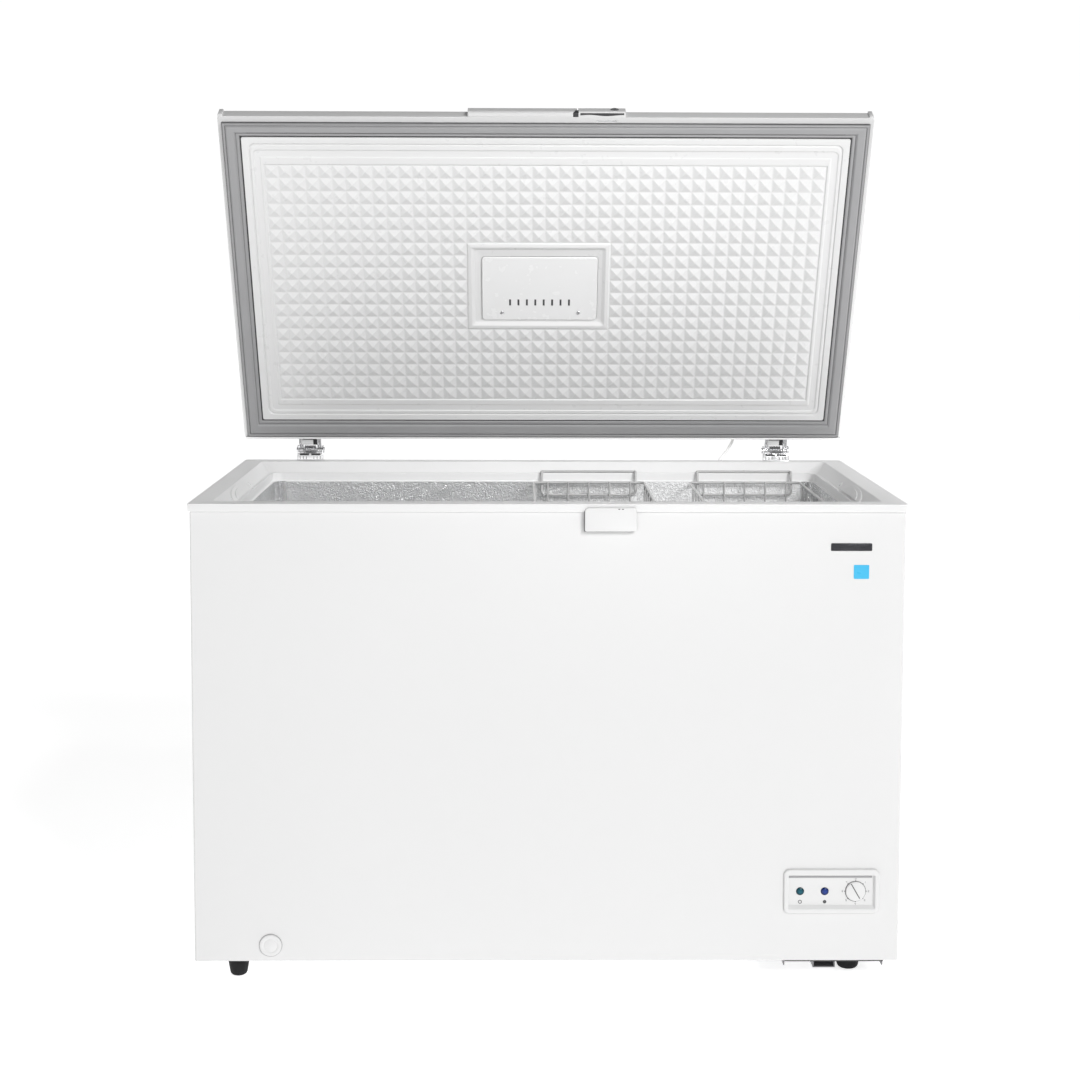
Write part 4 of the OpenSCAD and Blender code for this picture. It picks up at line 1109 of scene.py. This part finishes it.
# --- Front trim
def bezel():
    """Control bezel: rounded plate with a recessed face."""
    shape = Shape("control_plate")
    x, z = BEZEL
    plate = (x - 75.3, x + 75.3, z - 36, z + 36)
    rows = [
        (*plate, 3.4, 9),
        (*plate, 1.4, 9),
        drawn_in(plate, 1.8, 0.0, 8),
        (x - 68.5, x + 69.5, z - 28.5, z + 26.5, 0.0, 2),
        (x - 68, x + 69, z - 28, z + 26, 0.4, 1.5),
        (x - 68, x + 66, z - 22.5, z + 26, 5, 1.5),
    ]
    shape.levels(softened(rows, [0, 0.6, 0.8, 0.4, 0.3, 0]), n=6, caps=(False, True), upright=True)
    shape.place("cabinet", "control_bezel", look="bezel_plastic")
    # grey strip under the top edge of the recess, a painted shadow
    top_shadow = ((x - 67, x + 64.5), (4.75, 5.2), (z + 20.6, z + 26))
    one_block("bezel_top_shadow", "cabinet", *top_shadow, 0.1, slot="shade_plastic")
    marks = Shape("bezel_print")
    level = (5.1, 4.85)
    # open ring and solid dot under the two lamps
    ring_marks(marks, LAMPS_X[0], CONTROL_Z - 17, 2.0, 3.1, level)
    ring_marks(marks, LAMPS_X[1], CONTROL_Z - 17, 0.2, 2.8, level)
    # scale of the dial: a fine ring, a dot at every eighth and its number outside
    ring_marks(marks, *DIAL, 15.8, 16.5, level, 64)
    dots, figures = (arc(*DIAL, r, 90, 90 - 45 * 7, 7) for r in (16.6, 20.6))
    for number, (dot, figure) in enumerate(zip(dots, figures)):
        ring_marks(marks, *dot, 0.1, 1.0, level, 12)
        digit(marks, number, *figure, level)
    marks.place("cabinet", slot="print_and_painted_shade")


def ring_marks(shape, x, z, r0, r1, level, n=24):
    """Flat printed ring of inner radius r0 and outer radius r1."""
    rows = [circle(x, z, r, n) for r in (r1, r1, r0, r0)]
    heights = (level[0], level[1], level[1], level[0])
    shape.loops([xz(row, y) for row, y in zip(rows, heights)])


def digit(shape, number, x, z, level):
    """Small printed figure made of straight strokes; strokes run top, sides, middle, sides, foot."""
    strokes = ("1110111", "0010010", "1011101", "1011011", "0111010", "1101011", "1101111", "1010010")[number]
    w, h, t = 0.75, 1.25, 0.19
    ends = (
        ((-w, h), (w, h)), ((-w, 0), (-w, h)), ((w, 0), (w, h)), ((-w, 0), (w, 0)),
        ((-w, -h), (-w, 0)), ((w, -h), (w, 0)), ((-w, -h), (w, -h)),
    )
    for drawn, (a, b) in zip(strokes, ends):
        if drawn == "1":
            shape.block((x + a[0] - t, x + b[0] + t), level[::-1], (z + a[1] - t, z + b[1] + t), 0.05)


def lamps():
    for x, node in zip(LAMPS_X, ("power_lamp", "run_lamp")):
        profile = [(0.4, 2.2), (2.4, 2.5), (4.4, 3.2), (5.8, 4.1), (6.4, 4.9), (6.4, 5.6)]
        one_turned(f"{node}_lens", "cabinet", node, profile, (x, 0, CONTROL_Z), "Y", 40)


def dial():
    """Round dial with a slot across it."""
    x, z = DIAL
    profile = [(0.05, 1.6), (13.4, 1.6), (14.6, 1.9), (15.4, 2.6), (15.7, 3.6), (15.7, 4.7)]
    one_turned("dial_knob", "dial", "thermostat_dial", profile, (x, 0, z), "Y", 64, look="bezel_plastic")
    slot = Shape("dial_slot")
    turn = math.radians(30)
    c, s = math.cos(turn), math.sin(turn)
    corners = ((-0.7, -12.8), (0.7, -12.8), (0.7, 14.6), (-0.7, 14.6))
    loop = [(x + a * c - b * s, z + a * s + b * c) for a, b in corners]
    slot.loops([xz(loop, 1.45), xz(loop, 1.7)], caps=(True, True))
    slot.place("dial", slot="print_and_painted_shade")


def strike():
    """Block that the lid's lock catches, with a chamfered corner, a painted shadow along its left and bottom
    edges, and two small slits at its top drawn as painted shade.
    """
    shape = Shape("strike_block")

    def outline(inset, shift=0.0):
        x0, x1, cut = 56 + inset - shift, 136 - inset - shift, 4
        z0, z1 = 721 + inset - shift, 758 - inset - shift
        corners = [(x0, z0), (x1, z0), (x1, z1), (x0 + cut, z1), (x0, z1 - cut)]
        return softened(corners, [3, 3, 3, 1.5, 1.5], 4, closed=True)

    rows = [(0, 0.2), (0, -4.8), (0.35, -5.6), (1.2, -6)]
    shape.loops([xz(outline(inset), y) for inset, y in rows], caps=(True, True))
    shape.place("cabinet", "lock_strike", look="bezel_plastic")
    # dark outline shifted left and down, a painted shadow, and two dark marks for the slits, a painted shade
    shade = Shape("strike_shade")
    shade.loops([xz(outline(0.3, 1.3), 0.1), xz(outline(0.3, 1.3), -0.35)], caps=(True, True))
    for x0, x1 in ((107.6, 110.6), (113.2, 116.4)):
        shade.block((x0, x1), (-6.15, -5.5), (755.3, 756.7), 0.1)
    shade.place("cabinet", slot="print_and_painted_shade")


def drain():
    x, z = DRAIN
    profile = [(0.05, 0.9), (9.5, 0.9), (10.6, 1.3), (11.6, 0.8), (15.2, 0.6), (16.9, 1.1)]
    profile += [(17.5, 2), (17.5, 3.4)]
    one_turned("drain_disc", "drain_cap", "drain_cap", profile, (x, 0, z), "Y", 48, look="bezel_plastic")
    # grey ring round the cap, a painted shade in the gap round it
    rim = Shape("drain_rim_shade")
    ring_marks(rim, x, z, 17.3, 18.3, (3.6, 2.9), 48)
    rim.place("cabinet", slot="shade_plastic")


def plates():
    """Blank badge and blank label, where the photo's freezer has printed ones."""
    badge, label = (439, 503, 690, 702), (475, 499, 646, 668)
    rows = [drawn_in(badge, *row) for row in ((0, 3.5, 1.5), (0, 2.8, 1.5), (0.5, 2.5, 1.2))]
    for name, node, levels in (
        ("blank_badge", "nameplate", rows),
        ("blank_label", "info_label", [(*label, 3.5, 1.5), (*label, 3.2, 1.5)]),
    ):
        shape = Shape(name)
        shape.levels(levels, n=5, caps=(True, True), upright=True)
        shape.place("cabinet", node)


def feet():
    shape = Shape("levelling_feet")
    for x, y, top, r in ((-492, 42, 36, 17.5), (-492, 585, 36, 17.5), (487, 70, 33, 21), (487, 585, 33, 21)):
        profile = [(0.05, 0), (r - 9, 0.3), (r - 5.5, 2), (r - 3.8, 5), (r - 2.2, 14), (r, top - 8), (r, top)]
        shape.turned(softened(profile, 2, 3), (x, y, 0), "Z", 36)
    shape.place("cabinet", "feet")
    # front lip of the compressor's tray, just under the case
    one_block("tray_front_lip", "cabinet", (376, 532), (4.5, 15), (33.6, 35.9), 0.3, slot="black_steel")


make_camera()
lid_lead()
make_world()
make_stage()
sun_light("sun", (0.50, -0.70, 0.54), 1.12, 14)
area_light("key", (2.2, -3.8, 3.0), (0.0, 0.0, 0.8), (1.6, 1.6), 68)
spot_light("mouth", (0.6, -3.4, 2.6), (0.1, 0.3, 0.87), 15, 130)
area_light("fill", (-1.2, -4.8, 1.7), (0.0, 0.0, 0.8), (4.0, 2.4), 16)

outer_wrap()
collar()
tub()
basket("left", 82.7)
basket("right", 370.3)
lid_skin()
lid_core()
lid_panel()
lamp_frame()
lamp_cover()
gasket()
handle()
lock()
hinge(-1, "left")
hinge(1, "right")
back_screws()
back_plates()
bezel()
lamps()
dial()
strike()
drain()
plates()
feet()

bpy.context.scene.view_settings.view_transform = "Standard"
